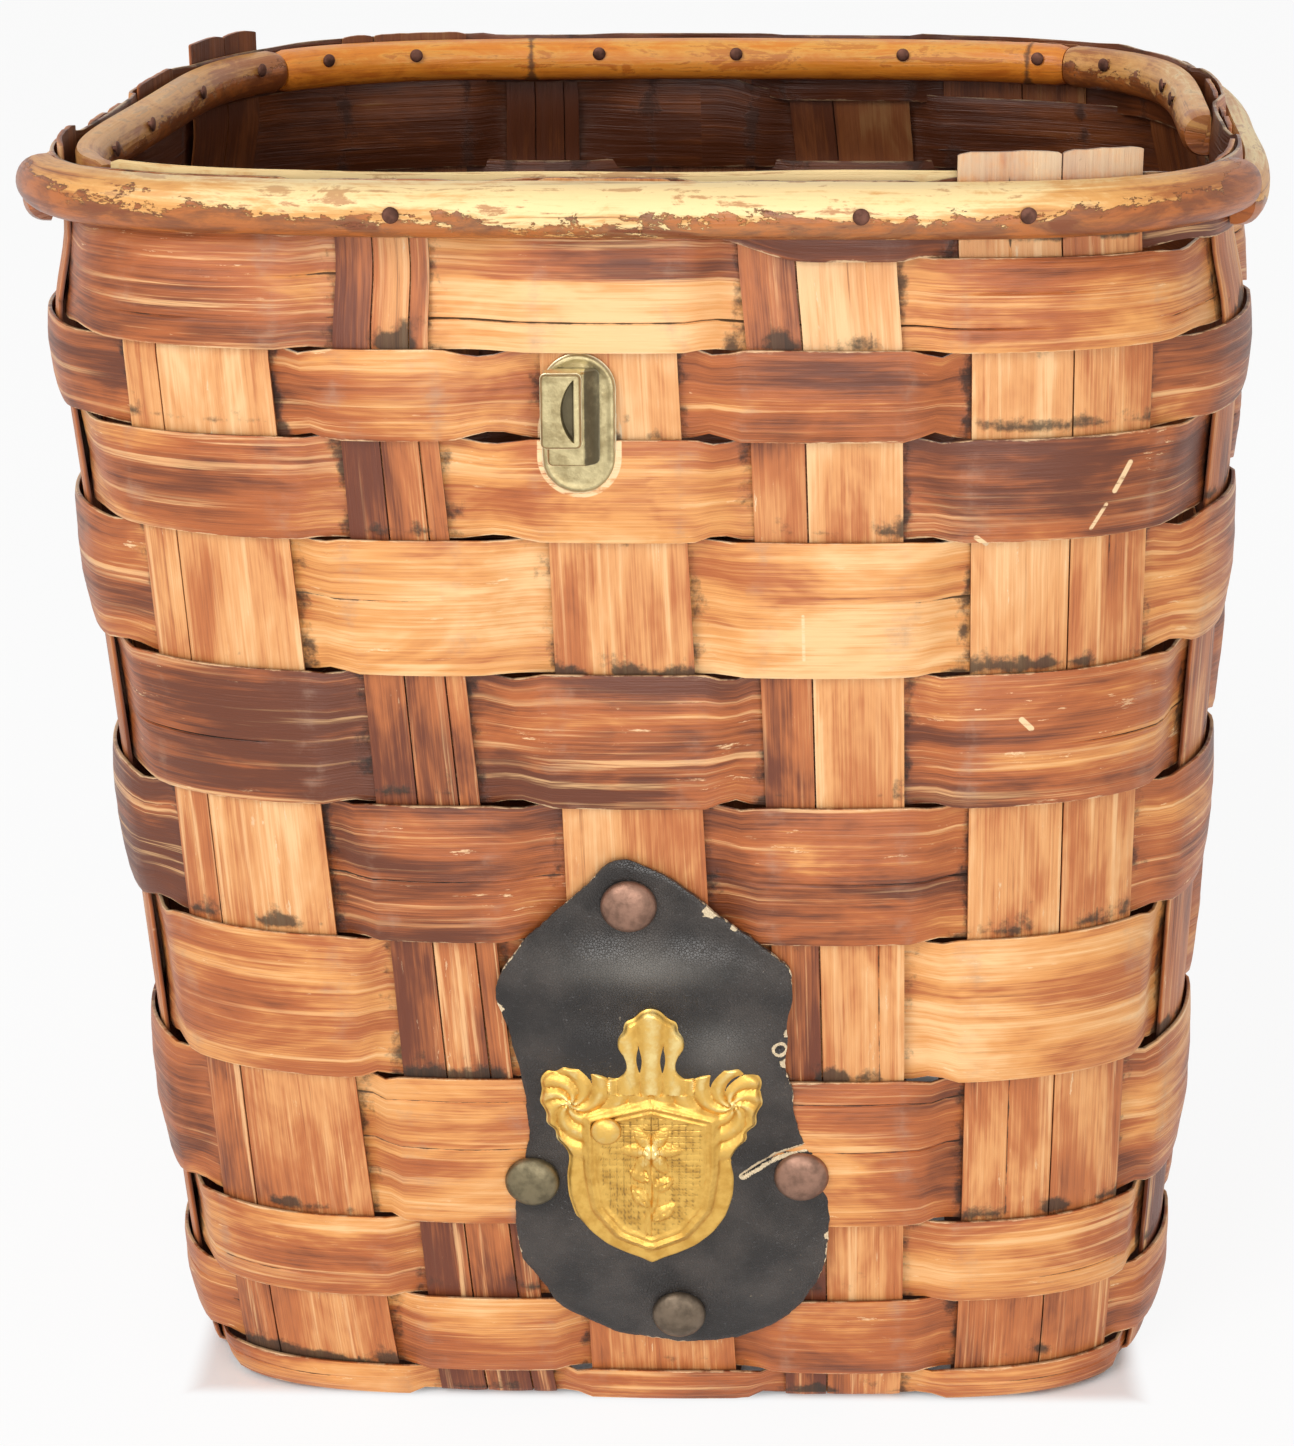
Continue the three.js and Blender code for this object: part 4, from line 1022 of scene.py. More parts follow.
class Weaver:
    """A row of weaving, on a grid of points along its course and across its width."""

    def __init__(self, row, settings):
        self.row = row
        self.settings = settings
        self.seed = 11.3 + 7.9 * row
        self.course = course_of(row)
        self.wave, self.bow = wave_of(self.course)
        self.low, high = LEVELS[row] - ROW_LAP / 2, LEVELS[row + 1] + ROW_LAP / 2
        self.width = high - self.low
        cracks = row_cracks(row, self.width)
        self.places = across_places(self.width, cracks)
        self.across = self.places[None, :] * self.width
        self.side = 2 * self.places[None, :] - 1
        plans = [plan_at(z) for z in (self.low, high)]
        ends = [turn_points(self.course.turns, plan)[:, None] for plan in plans]
        share = self.places[None, :, None]
        self.base = ends[0] * (1 - share) + ends[1] * share
        self.front = smooth(0, 0.6, -self.base[:, :1, 1] / plans[0].half_depth)

        # The noise runs round a circle, so that the end of the row meets its start.
        circle = self.course.along / self.course.total * math.tau
        swing = np.stack((np.cos(circle), np.sin(circle)), 1) * self.course.total / math.tau
        self.looped = swing[:, :1] + swing[:, 1:] * 1.31
        self.cracked = crack_depths(self.places, cracks, self.looped[:, 0], self.seed)
        self.edge = splint_marks(self.places, self.width)[None, :] * np.ones_like(self.wave)

    def lift(self):
        """How far it stands off the middle of the wall."""
        cup = 1 - self.side ** 2
        ridges = ridges_on(self.looped, self.across, WEAVER_RIDGES, self.seed)
        bulge = self.settings.bulge * self.bow * np.sign(self.wave) * (0.45 + 0.55 * cup)
        lift = LAYER_OFFSET * self.wave + bulge + CUP_SHARE * self.width * self.wave * cup
        return lift + self.settings.ridge * ridges * (0.4 + 0.6 * cup)

    def heights(self):
        """Its edges wander, draw in where it dives on the front and lap on the back."""
        edges = np.round(self.places)[None, :] * 9.0
        wander = WANDER * ripple(self.looped / WANDER_RUN, edges, seed=self.seed + 2)
        open_share = 0.9 + 1.5 * ripple(self.looped / PINCH_RUN, seed=self.seed + 5)
        pinch = PINCH * (1 - self.wave ** 2) * (1.4 * self.front - 0.4)
        draw = BACK_LAP * (1 - self.front) - pinch * np.clip(open_share, 0.3, 2.3)
        z = self.low + self.across + wander * self.side ** 2 + draw * self.side
        if self.row >= TOP_ROW - 1:
            share = 1 - self.places if self.row == TOP_ROW else self.places
            z = z - RIM_DIP * share[None, :] * smooth(*DIP_SPAN, self.base[..., 0])
        return np.maximum(z, LEAST_HEIGHT)[..., None]

    def faces(self):
        """Its outer and its inner face."""
        z = self.heights()
        normal = outward(np.roll(self.base, -1, 0) - np.roll(self.base, 1, 0))
        middle = np.concatenate((self.base, z), -1)
        out = np.concatenate((normal, np.zeros_like(z)), -1)
        lift = self.lift()
        thickness = SPLINT_HALF - WEAVER_EDGE_THINNING * self.edge
        outer = lift + thickness - self.cracked * self.settings.crack
        return middle + out * outer[..., None], middle + out * (lift - thickness)[..., None]

    def grain(self):
        along = np.mod(self.course.along[:, None] - self.course.seam, self.course.total)
        return np.stack(np.broadcast_arrays(along, self.across, self.seed), -1)

    def marks(self):
        """Its tone, its scuffed edges, the residue and painted shade where it dives, and the dust
        there.
        """
        course, whole = self.course, self.course.total
        spans = (course.starts, course.ends, course.starts + whole, course.ends - whole)
        gaps = np.abs(course.along[:, None] - np.concatenate(spans))
        nearest = gaps.min(1, keepdims=True)
        under = (1 - self.wave) / 2
        # Painted shade with some residue: darker where it passes behind an upright near the
        # crossing, and a little along its edges.
        grime = 0.75 * np.exp(-nearest / CORNER_DIRT_AND_SHADE) * under + 0.12 * self.edge
        dust = (0.45 * np.exp(-nearest / CORNER_DUST) + 0.08) * (1 - under)
        tone = row_tones(self.row, course) * np.ones_like(self.across)
        if self.row == TOP_ROW - 1:
            middle_share = np.exp(-((self.base[..., 0] / DARK_STRIP_REACH) ** 4)) * self.front
            tone = tone - 0.75 * smooth(0.58, 0.64, self.places)[None, :] * middle_share
        return {
            "tone": tone, "edge": self.edge, "dust": dust * np.ones_like(self.across),
            "grime": grime + self.cracked * 1.2,
        }


def window_grime(column_place, heights, across):
    """Residue in blots above each weaver that the upright goes under, and painted shadow below the
    next.
    """
    grime = np.zeros((len(heights), len(across)))
    for row in range(len(ROWS)):
        low, high = LEVELS[row], LEVELS[row + 1]
        if (column_place + row) % 2:
            inside = ((heights >= low) & (heights < high))[:, None]
            seed = 90.7 + 3.1 * column_place + row
            rows, columns = heights[:, None] / BLOT_LENGTH, across[None, :] / BLOT_WIDTH
            blot = 1 + ripple(rows, columns, seed=seed)
            above = np.exp(-(heights - low) / RESIDUE_UP)[:, None] * np.clip(blot, 0, 1.6)
            # Painted shadow under the next weaver, broken up like the residue.
            below = 0.55 * np.exp(-(high - heights) / SHADOW_DOWN)[:, None] * np.clip(blot, 0, 1)
            grime = np.where(inside, np.maximum(above, below) * 0.8, grime)
    return grime


def bottom_profile(name, near, far, travel):
    """The height of an upright along its way under the basket, over and under the crossings."""
    sideways = name in SIDE_STAKE_SHARES
    own, crossing, size = SIDE_STAKE_SHARES, FRONT_STAKE_SHARES, FOOT_LENGTH
    if not sideways:
        own, crossing, size = FRONT_STAKE_SHARES, SIDE_STAKE_SHARES, FOOT_DEPTH
    middle = (near + far) / 2
    places, heights = [near + BEND_INSET], [BEND_HEIGHT]
    for number, (_, place, _, width) in enumerate(crossing.values()):
        high = (number + list(own).index(name)) % 2 == (1 if sideways else 0)
        reach = width * size / 2 + CROSSING_MARGIN
        centre = middle + place * size / 2
        places += [centre - reach, centre + reach]
        heights += [HIGH_LAYER if high else LOW_LAYER] * 2
    places.append(far - BEND_INSET)
    heights.append(BEND_HEIGHT)
    return np.interp(travel, places, heights)


class UprightsOperator(bpy.types.Operator):
    """Add the uprights, which pass under the basket from side to side"""

    bl_idname = "basket.uprights"
    bl_label = "Uprights"

    def execute(self, context):
        settings = context.scene.basket_uprights
        material = splint_finish("upright_wood", settings, 0.36)
        for kind, names in (("front", FRONT_STAKE_SHARES), ("side", SIDE_STAKE_SHARES)):
            for name in names:
                build = Build()
                add_upright(build, name)
                node = f"stake_{kind}_{name}"
                install(build.piece(f"{node}_splint", material), "basket", "stake_splint", node)
        return {"FINISHED"}


def add_upright(build, name):
    """All the strips that an upright is split into."""
    strips = STRIP_SHARES[name]
    limits = [share for share, _ in strips] + [1]
    for number, (start, tone) in enumerate(strips):
        seed = 40 + 13.7 * ord(name) % 29 + 3.3 * number
        add_strip(build, name, (start, limits[number + 1]), tone, seed)


class Leg(NamedTuple):
    """A strip up one wall from the foot: its points, which way they face, its grime and dust."""

    points: np.ndarray
    normals: np.ndarray
    grime: np.ndarray
    dust: np.ndarray


def strip_leg(column, across, rise, corner, seed):
    """A strip up one wall, to its sawn end a rise above the wall's top."""
    width = column_shares(column, WALL_HEIGHT / 2, (0.0,))[1]
    top = WALL_HEIGHT + rise - (END_SINK if rise < LOW_END else 0)
    heights = np.linspace(FOOT_HEIGHT, top, max(2, round(top / ALONG_STEP)))
    points, normals = [], []
    for z in heights:
        level = min(z, WALL_HEIGHT)
        shares, _ = column_shares(column, level, across)
        spot, normal = side_points(column.side, shares, plan_at(level))
        points.append(np.column_stack((spot, np.full(len(across), z))))
        normals.append(np.column_stack((normal, np.zeros(len(across)))))
    points, normals = np.array(points), np.array(normals)
    jag = ripple(across * width / JAG_WIDTH, seed=seed + 4) * END_JAG
    points[-1, :, 2] += jag - END_ROUNDING * np.exp(-corner / END_CORNER)
    dusty = END_DUST.get((column.name, column.side), 0.25)
    dust = dusty * smooth(WALL_HEIGHT - END_DUST_BAND, WALL_HEIGHT, heights)
    grime = window_grime(COLUMNS.index(column), heights, across * width)
    if dusty > 0.5:
        grime = grime + 0.3 * smooth(WALL_HEIGHT, WALL_HEIGHT + rise, heights)[:, None]
    return Leg(points, normals, grime, dust[:, None] * np.ones(len(across)))


def strip_bend(leg):
    """The rounded corner between a strip's wall and the bottom."""
    foot, normal = leg.points[0], leg.normals[0]
    points, normals = [], []
    for angle in (30, 60):
        c, s = math.cos(math.radians(angle)), math.sin(math.radians(angle))
        spot = foot - normal * BEND_INSET * (1 - c)
        spot[:, 2] = FOOT_HEIGHT - (FOOT_HEIGHT - BEND_HEIGHT) * s
        lean = normal * c
        lean[:, 2] = -s
        points.append(spot)
        normals.append(lean)
    return np.array(points), np.array(normals)


def strip_bottom(name, near, far):
    """A strip's way under the basket, from one foot to the other."""
    axis = 0 if name in SIDE_STAKE_SHARES else 1
    ends = near[:, axis].mean(), far[:, axis].mean()
    spread = (far[:, axis] - near[:, axis]).mean()
    inset = BEND_INSET + BEND_CLEARANCE
    count = max(3, round(spread / ALONG_STEP))
    travel = np.linspace(ends[0] + inset, ends[1] - inset, count)
    shares = ((travel - ends[0]) / (ends[1] - ends[0]))[:, None, None]
    points = near[None] * (1 - shares) + far[None] * shares
    points[..., 2] = bottom_profile(name, *ends, travel)[:, None]
    normals = np.zeros_like(points)
    normals[..., 2] = -1
    return points, normals


def strip_route(name, across, corner, seed):
    """A strip's way up one wall, under the basket and up the other wall."""
    near, far = [
        strip_leg(column, across, rise, corner, seed)
        for column, rise in zip(columns_of(name), END_RISES[name])
    ]
    bends = [strip_bend(leg) for leg in (near, far)]
    bottom = strip_bottom(name, near.points[0], far.points[0])
    points, normals = [
        np.concatenate((near[i][::-1], bends[0][i], bottom[i], bends[1][i][::-1], far[i]))
        for i in (0, 1)
    ]
    plain = np.zeros((len(points) - len(near.points) - len(far.points), len(across)))
    grime, dust = [
        np.concatenate((one[::-1], plain, other))
        for one, other in ((near.grime, far.grime), (near.dust, far.dust))
    ]
    return Leg(points, normals, grime, dust)


def columns_of(name):
    """An upright's near column and its far one."""
    sides = ("left", "right") if name in SIDE_STAKE_SHARES else ("front", "back")
    return [next(c for c in COLUMNS if c.name == name and c.side == side) for side in sides]


def add_strip(build, name, limits, tone, seed):
    """One of the strips of an upright, between two limits across it."""
    width = column_shares(columns_of(name)[0], WALL_HEIGHT / 2, (0.0,))[1]
    gap = STRIP_GAP / width
    start = limits[0] + (gap if limits[0] > 0 else 0)
    end = limits[1] - (gap if limits[1] < 1 else 0)
    strip_width = width * (end - start)
    wide = strip_width > WIDE_STRIP
    cracks = [0.5 + 0.5 * noise.noise(Vector((seed, 1.5, 7.7)))] if wide else []
    places = across_places(strip_width, cracks)
    corner = np.minimum(places, 1 - places) * strip_width
    route = strip_route(name, start + places * (end - start), corner, seed)

    along = lengths_along(route.points.mean(1))[:, None]
    across = places[None, :] * strip_width
    opening = crack_depths(places, cracks, along[:, 0], seed)
    edge = splint_marks(places, strip_width)[None, :] * np.ones_like(along)
    thickness = SPLINT_HALF - STRIP_EDGE_THINNING * edge
    sway = STRIP_SWAY * ripple(along / SWAY_RUN, seed=seed + 2)
    lift = STRIP_RIDGE * ridges_on(along, across, STRIP_RIDGES, seed) + sway
    face = lift + thickness - opening * STRIP_CRACK
    outer = route.points + route.normals * face[..., None]
    inner = route.points + route.normals * (lift - thickness)[..., None]
    outer[..., 2] = np.maximum(outer[..., 2], LEAST_STRIP_HEIGHT)
    climb = np.clip(route.points[..., 2] / WALL_HEIGHT, 0, 1)
    grain = np.stack(np.broadcast_arrays(along, across + 0.03 * start, seed), -1)
    build.slab(
        outer, inner, grain, tone=tone - 0.38 * (1 - climb) ** 1.3, edge=edge * 0.45,
        dust=route.dust, grime=route.grime + opening * 0.8,
    )


# The rim's canes: the span of the turn, and how they seat, as shares and sizes.
HOOP_SPAN_SHARES = {
    "outer_hoop_front": (0.57, 0.93),
    "outer_hoop_back": (-0.07, 0.57),
    "inner_hoop_right": (-0.002, 0.15),
    "inner_hoop_back": (0.15, 0.4),
    "inner_hoop_left": (0.4, 0.62),
    "rim_liner_front": (0.63, 0.86),
}
HOOP_CENTRE = 391.1 * MM
HOOP_JOINT = 0.5 * MM


class Cane(NamedTuple):
    """A cane's section: how far its flat back stands off the wall, its thickness and height."""

    seat: float
    thickness: float
    height: float
    rise: float


INNER_CANE = Cane(-3.9 * MM, -9 * MM, 14.4 * MM, 0)
CANES = {
    "outer_hoop_front": Cane(3.5 * MM, 10.3 * MM, 15.4 * MM, 0),
    "outer_hoop_back": Cane(3.5 * MM, 8.3 * MM, 15.4 * MM, -5.4 * MM),
    "inner_hoop_right": INNER_CANE,
    "inner_hoop_back": INNER_CANE,
    "inner_hoop_left": INNER_CANE,
    "rim_liner_front": Cane(-3.9 * MM, -2.6 * MM, 15 * MM, 1.1 * MM),
}

# Rings round a cane where it was jointed as it grew, as shares of the full turn.
JOINT_SHARES = {"inner_hoop_back": (0.2749, 0.172), "outer_hoop_back": (0.44, 0.08)}

# How a cane changes along its length: the place along it, its tone and its bark.
CANE_WEAR_SHARES = {
    "outer_hoop_front": (
        (0, 0.05, 0.6), (0.08, 0.28, 0.35), (0.2, 0.5, 0.14), (0.42, 0.74, 0.02), (0.6, 0.8, 0),
        (0.78, 0.62, 0.08), (0.88, 0.3, 0.3), (1, 0, 0.7),
    ),
    "outer_hoop_back": ((0, 0.55, 0.1),),
    "inner_hoop_right": ((0, 0.36, 0.1),),
    "inner_hoop_back": ((0, 0.45, 0.1),),
    "inner_hoop_left": ((0, 0.2, 0.1),),
    "rim_liner_front": ((0, 0.85, 0.1),),
}

# A cane's bark and gloss: the amber one is varnished and has none left.
PLAIN_BARK, PLAIN_GLOSS = 0.74, 0.26
NO_BARK, AMBER_GLOSS = 2.4, 0.2

# The half-round section: how far out and up each point stands, and how far round it is.
HOOP_ARC = np.radians(np.linspace(-90, 90, 17))
HOOP_OUT_SHARES = np.concatenate((np.cos(HOOP_ARC) ** 0.75 * 0.94 + 0.06, [0.0, 0.0]))
HOOP_RISE_SHARES = np.concatenate((np.sin(HOOP_ARC) * 0.5, [0.42, -0.42]))
HOOP_AROUND_SHARES = np.concatenate((HOOP_ARC / math.pi + 0.5, [1.2, 1.3])) * 1.4
HOOP_STEP = 3.5 * MM
HOOP_SAG, SAG_RUN = 0.5 * MM, 110 * MM
LUMP_RUN, LUMP_WIDTH = 50 * MM, 12 * MM
COLLAR_RISE, COLLAR_WIDTH, COLLAR_DIRT = 0.55 * MM, 4 * MM, 1.6 * MM
TAPER_SPAN = (-1 * MM, 2.5 * MM)
END_WEAR = 30 * MM


class RimOperator(bpy.types.Operator):
    """Add the canes round the mouth"""

    bl_idname = "basket.rim"
    bl_label = "Rim canes"

    def execute(self, context):
        settings = context.scene.basket_rim
        plain_skin = (settings.rim_deep, settings.rim_mid, settings.rim_pale)
        amber_skin = (settings.amber_deep, settings.amber_mid, settings.amber_pale)
        plain = cane_finish("rim_cane", settings, plain_skin, PLAIN_BARK, PLAIN_GLOSS)
        amber = cane_finish("amber_cane", settings, amber_skin, NO_BARK, AMBER_GLOSS)
        for name in HOOP_SPAN_SHARES:
            is_amber = name == "inner_hoop_back"
            build = Build()
            add_hoop(build, name, settings)
            piece = build.piece(f"{name}_cane", amber if is_amber else plain)
            install(piece, "basket", "amber_cane" if is_amber else "rim_cane", name)
        return {"FINISHED"}


def hoop_wear(name, along):
    """A cane's tone and how much bark it keeps, along its length."""
    places, *told = zip(*CANE_WEAR_SHARES[name])
    share = (along - along[0]) / (along[-1] - along[0])
    return [np.interp(share, places, values)[:, None] for values in told]


def add_hoop(build, name, settings):
    cane = CANES[name]
    plan = plan_at(HOOP_CENTRE)
    fine = np.linspace(*HOOP_SPAN_SHARES[name], FINE_TURNS)
    length = lengths_along(turn_points(fine, plan))
    count = round(length[-1] / HOOP_STEP)
    along = np.linspace(HOOP_JOINT / 2, length[-1] - HOOP_JOINT / 2, count)
    turns = np.interp(along, length, fine)
    reach = 0.005
    normal = outward(turn_points(turns + reach, plan) - turn_points(turns - reach, plan))
    seed = 3.1 * list(HOOP_SPAN_SHARES).index(name) + 60
    around = HOOP_AROUND_SHARES * cane.height
    lumps = ripple(along[:, None] / LUMP_RUN, around[None, :] / LUMP_WIDTH, seed=seed)
    lumps = 1 + settings.lump / abs(cane.thickness) * lumps

    # It swells at the rings where it was jointed and thins a little at its two ends.
    ring_gap = [np.abs(along - np.interp(t, fine, length)) for t in JOINT_SHARES.get(name, ())]
    nearest = np.min(ring_gap, axis=0)[:, None] if ring_gap else np.ones((count, 1))
    lumps = lumps + COLLAR_RISE * bump(nearest, COLLAR_WIDTH) / abs(cane.thickness)
    to_end = np.minimum(along, along[-1] + along[0] - along)
    taper = (0.82 + 0.18 * smooth(*TAPER_SPAN, to_end))[:, None]
    sag = HOOP_SAG * ripple(along / SAG_RUN, seed=seed + 1)[:, None]
    swell = np.where(HOOP_OUT_SHARES > 0, lumps, 1)
    reach_out = cane.seat + cane.thickness * HOOP_OUT_SHARES[None, :] * swell * taper
    rise = cane.height * HOOP_RISE_SHARES[None, :] * taper * (1 + 0.4 * (lumps - 1))
    rise = HOOP_CENTRE + cane.rise + sag + rise
    xy = turn_points(turns, plan)[:, None] + normal[:, None] * reach_out[..., None]
    solid = np.concatenate((xy, rise[..., None]), -1)
    grain = np.stack(np.broadcast_arrays(along[:, None], around[None, :], seed), -1)

    tone, bark = hoop_wear(name, along)
    ends = np.exp(-np.minimum(along - along[0], along[-1] - along) / END_WEAR)[:, None]
    whole = np.ones((count, len(HOOP_OUT_SHARES)))
    low_edge = np.clip(0.62 - HOOP_RISE_SHARES * 1.35, 0, 1)[None, :] * whole
    # Darker on the underside of the section.
    under = np.clip(-HOOP_RISE_SHARES * 2.4 - 0.75, 0, 1)[None, :] * whole
    build.rings(
        solid, grain, tone=tone + 0.34 * HOOP_RISE_SHARES[None, :] - 0.2 * ends,
        edge=low_edge + 0.2 * ends + bark, dust=0.6 + 0.4 * low_edge,
        grime=under + 0.9 * bump(nearest, COLLAR_DIRT),
    )


def turned(build, centre, direction, profile, steps=28, **marks):
    """A piece turned about a line: profile is (radius, height) from the line's start upwards."""
    direction = Vector(direction).normalized()
    one = direction.orthogonal().normalized()
    two = direction.cross(one)
    angles = np.linspace(0, math.tau, steps, endpoint=False)
    ring = np.outer(np.cos(angles), one) + np.outer(np.sin(angles), two)
    points = np.array([
        np.array(centre) + np.array(direction) * height + ring * max(radius, 1e-5)
        for radius, height in profile
    ])
    build.rings(points, points, **marks)


# A nail's or stud's dome height, shank radius and shank length.
NAIL_SHAPE = (0.9 * MM, 0.9 * MM, 5 * MM)
STUD_SHAPE = (3.8 * MM, 1.2 * MM, 6.6 * MM)
BADGE_STUD_SHAPE = (2.4 * MM, 1.2 * MM, 8.2 * MM)
NAIL_PREFIXES = ("inner_nail", "outer_nail")
INNER_NAIL_LIFT = 2 * MM
DOME_SHARES = ((1, 0), (1.0, 0.22), (0.93, 0.5), (0.78, 0.74), (0.55, 0.9), (0.28, 0.98), (0, 1))


def dome(radius, height, shank_radius, shank_length):
    profile = [(0, -shank_length), (shank_radius, -shank_length), (shank_radius, 0)]
    return profile + [(across * radius, rise * height) for across, rise in DOME_SHARES]


def node_points(name):
    return np.array([vertex.co for vertex in frame["nodes"][name].data.vertices])


def stud_pose(name):
    """Where a nail's or stud's head sits and which way it faces, from the frame's solid."""
    points = node_points(name)
    centre = points.mean(0)
    _, spread, axes = np.linalg.svd(points - centre)
    axis = axes[0 if spread[0] - spread[1] > spread[1] - spread[2] else 2]
    along = (points - centre) @ axis
    radii = np.linalg.norm(points - centre - np.outer(along, axis), axis=1)
    if along[np.argmax(radii)] < 0:
        axis, along = -axis, -along
    wide = radii > 0.9 * radii.max()
    line = points[wide].mean(0)
    under = along[wide].min()
    foot = centre + axis * under
    return foot + (line - centre - axis * ((line - centre) @ axis)), axis, radii.max()


class NailsOperator(bpy.types.Operator):
    """Add the rim's nails"""

    bl_idname = "basket.nails"
    bl_label = "Nails"

    def execute(self, context):
        settings = context.scene.basket_metals
        iron = settings.iron
        dark = tuple(0.4 * c for c in iron)
        material = metal_finish("nail_iron", iron, dark, tuple(1.6 * c for c in iron), 0.5)
        names = sorted(n for n in frame["nodes"] if n.startswith(NAIL_PREFIXES))
        build = Build()
        for name in names:
            foot, axis, radius = stud_pose(name)
            foot[2] += INNER_NAIL_LIFT if name.startswith("inner_nail") else 0
            turned(build, foot, axis, dome(radius, *NAIL_SHAPE), steps=18, grime=0.12)
        install(build.piece("rim_nails", material), "basket", "nail_iron", *names)
        return {"FINISHED"}


def wall_spot(x, z, offset):
    """The front wall's surface at a place across and a height, standing off its middle."""
    row = max(0, min(len(ROWS) - 1, sum(level <= z for level in LEVELS) - 1))

    def depth_at(level):
        plan = plan_at(level)
        share = (x - WALL_CENTRE[0] - plan.shift + RACK_SHARE * plan.half_depth) / plan.half_length
        spots, _ = side_points("front", [share], plan)
        return spots[0, 1]

    low, high = LEVELS[row], LEVELS[row + 1]
    share = (z - low) / (high - low)
    return np.array((x, depth_at(low) * (1 - share) + depth_at(high) * share - offset, z))


def even_steps(corners, steps):
    """Points evenly spaced along a closed outline, and how far along it they are."""
    closed = np.concatenate((corners, corners[:1]))
    length = lengths_along(closed)
    at = np.linspace(0, length[-1], steps, endpoint=False)
    return np.stack([np.interp(at, length, closed[:, i]) for i in (0, 1)], -1), at


def spread_outline(shares, box, steps):
    """An outline in metres, evenly stepped: shares are across from the middle and up."""
    x, width, z, height = box
    corners = np.array([(x + across * width, z + rise * height) for across, rise in shares])
    return even_steps(corners, steps)


def softened(outline, passes):
    for _ in range(passes):
        outline = (np.roll(outline, 1, 0) + 2 * outline + np.roll(outline, -1, 0)) / 4
    return outline


def distance_to(points, outline):
    """The distance from each point to an outline, negative inside it."""
    ends = np.roll(outline, -1, 0)
    run = ends - outline
    rel = points[:, None] - outline[None]
    share = np.clip((rel * run).sum(-1) / (run * run).sum(-1), 0, 1)
    nearest = np.linalg.norm(rel - run[None] * share[..., None], axis=-1).min(1)
    x, z = points[:, 0][:, None], points[:, 1][:, None]
    low = (outline[None, :, 1] > z) != (ends[None, :, 1] > z)
    height = np.where(run[:, 1] == 0, 1, run[:, 1])
    crossing = outline[None, :, 0] + run[None, :, 0] * (z - outline[None, :, 1]) / height[None]
    inside = (low & (x < crossing)).sum(1) % 2 == 1
    return np.where(inside, -nearest, nearest)


def edge_mark(outline, reach):
    """A mark that is 1 at an outline and fades out within its reach of it."""
    return lambda points: np.clip(1 + distance_to(points, outline) / reach, 0, 1)


def relief(build, outline, radii, heights, seat, back, spot, **marks):
    """A plate with a shaped face: heights(points) over its seat, and a flat back below that."""
    centre = outline.mean(0)
    face = np.array([centre + (outline - centre) * radius for radius in radii])
    flat = face.reshape(-1, 2)
    rise = heights(flat).reshape(face.shape[:2])
    front = np.array([spot(x, z, seat + h) for (x, z), h in zip(flat, rise.ravel())])
    front = front.reshape(*face.shape[:2], 3)
    rear_grid = face[::-1][[0, len(radii) // 2, len(radii) - 1]]
    rear = np.array([spot(x, z, seat + back) for x, z in rear_grid.reshape(-1, 2)])
    rear = rear.reshape(*rear_grid.shape[:2], 3)
    points = np.concatenate((front, rear))
    filled = {}
    for name, value in marks.items():
        values = value(flat).reshape(face.shape[:2])
        filled[name] = np.concatenate((values, np.repeat(values[-1:], len(rear), 0)))
    build.rings(points, points, **filled)


# The patch's outline, as shares of its width from its middle and of its height.
PATCH_SHARES = (
    (-0.11, 1), (-0.16, 0.989), (-0.2, 0.957), (-0.323, 0.885), (-0.405, 0.835), (-0.47, 0.771),
    (-0.486, 0.731), (-0.449, 0.67), (-0.409, 0.556), (-0.394, 0.441), (-0.41, 0.398),
    (-0.441, 0.312), (-0.441, 0.255), (-0.425, 0.183), (-0.313, 0.08), (-0.14, 0.019),
    (-0.039, 0.009), (0.063, 0), (0.226, 0.011), (0.327, 0.04), (0.409, 0.083), (0.484, 0.176),
    (0.49, 0.226), (0.496, 0.327), (0.459, 0.398), (0.409, 0.441), (0.388, 0.484), (0.378, 0.549),
    (0.352, 0.599), (0.364, 0.642), (0.356, 0.685), (0.376, 0.721), (0.368, 0.792),
    (0.266, 0.842), (0.144, 0.9), (0.083, 0.936), (0.002, 0.971),
)

# Where the patch's coating is chipped: a place across and up, as shares, and a radius.
CHIPS = (
    (0.135, 0.9, 2.6 * MM), (0.205, 0.868, 1.5 * MM), (-0.475, 0.705, 2.6 * MM),
    (0.36, 0.66, 2 * MM), (0.357, 0.6, 2.4 * MM), (0.37, 0.578, 1.8 * MM), (0.489, 0.24, 1.8 * MM),
    (-0.385, 0.125, 2.2 * MM), (-0.43, 0.2, 1.2 * MM), (0.27, 0.845, 1 * MM),
)

# Folds across the patch: the height and spread, as shares, and how far each swells or sinks.
PATCH_FOLDS = ((0.8, 0.045, 1.5 * MM), (0.7, 0.04, -1.1 * MM), (0.61, 0.05, 1.1 * MM))

# The leather swells clear of the studs and of its edge, wrinkles, curls up along the edge and
# sinks at the tear and the eyelet, round which the coating is gone.
STUD_HOLD = (6 * MM, 26 * MM)
EDGE_HOLD, FOLD_HOLD = 22 * MM, 16 * MM
WRINKLE, WRINKLE_WIDTH, WRINKLE_HEIGHT = 0.35 * MM, 30 * MM, 22 * MM
CURL, CURL_REACH, CURL_SIZE = 0.7 * MM, 4 * MM, 20 * MM
HOLE_DEPTH, TEAR_WIDTH, EYELET_RADIUS = 1.2 * MM, 0.6 * MM, 1.1 * MM
BARE_TEAR, BARE_EYELET, BARE_FADE = 0.9 * MM, 2 * MM, 0.7 * MM
DEEPEST_CREASE = 1.3 * MM
PATCH_ROUNDING, PATCH_ROUNDING_REACH = 0.5 * MM, 1.2 * MM
PATCH_EDGE = 2 * MM

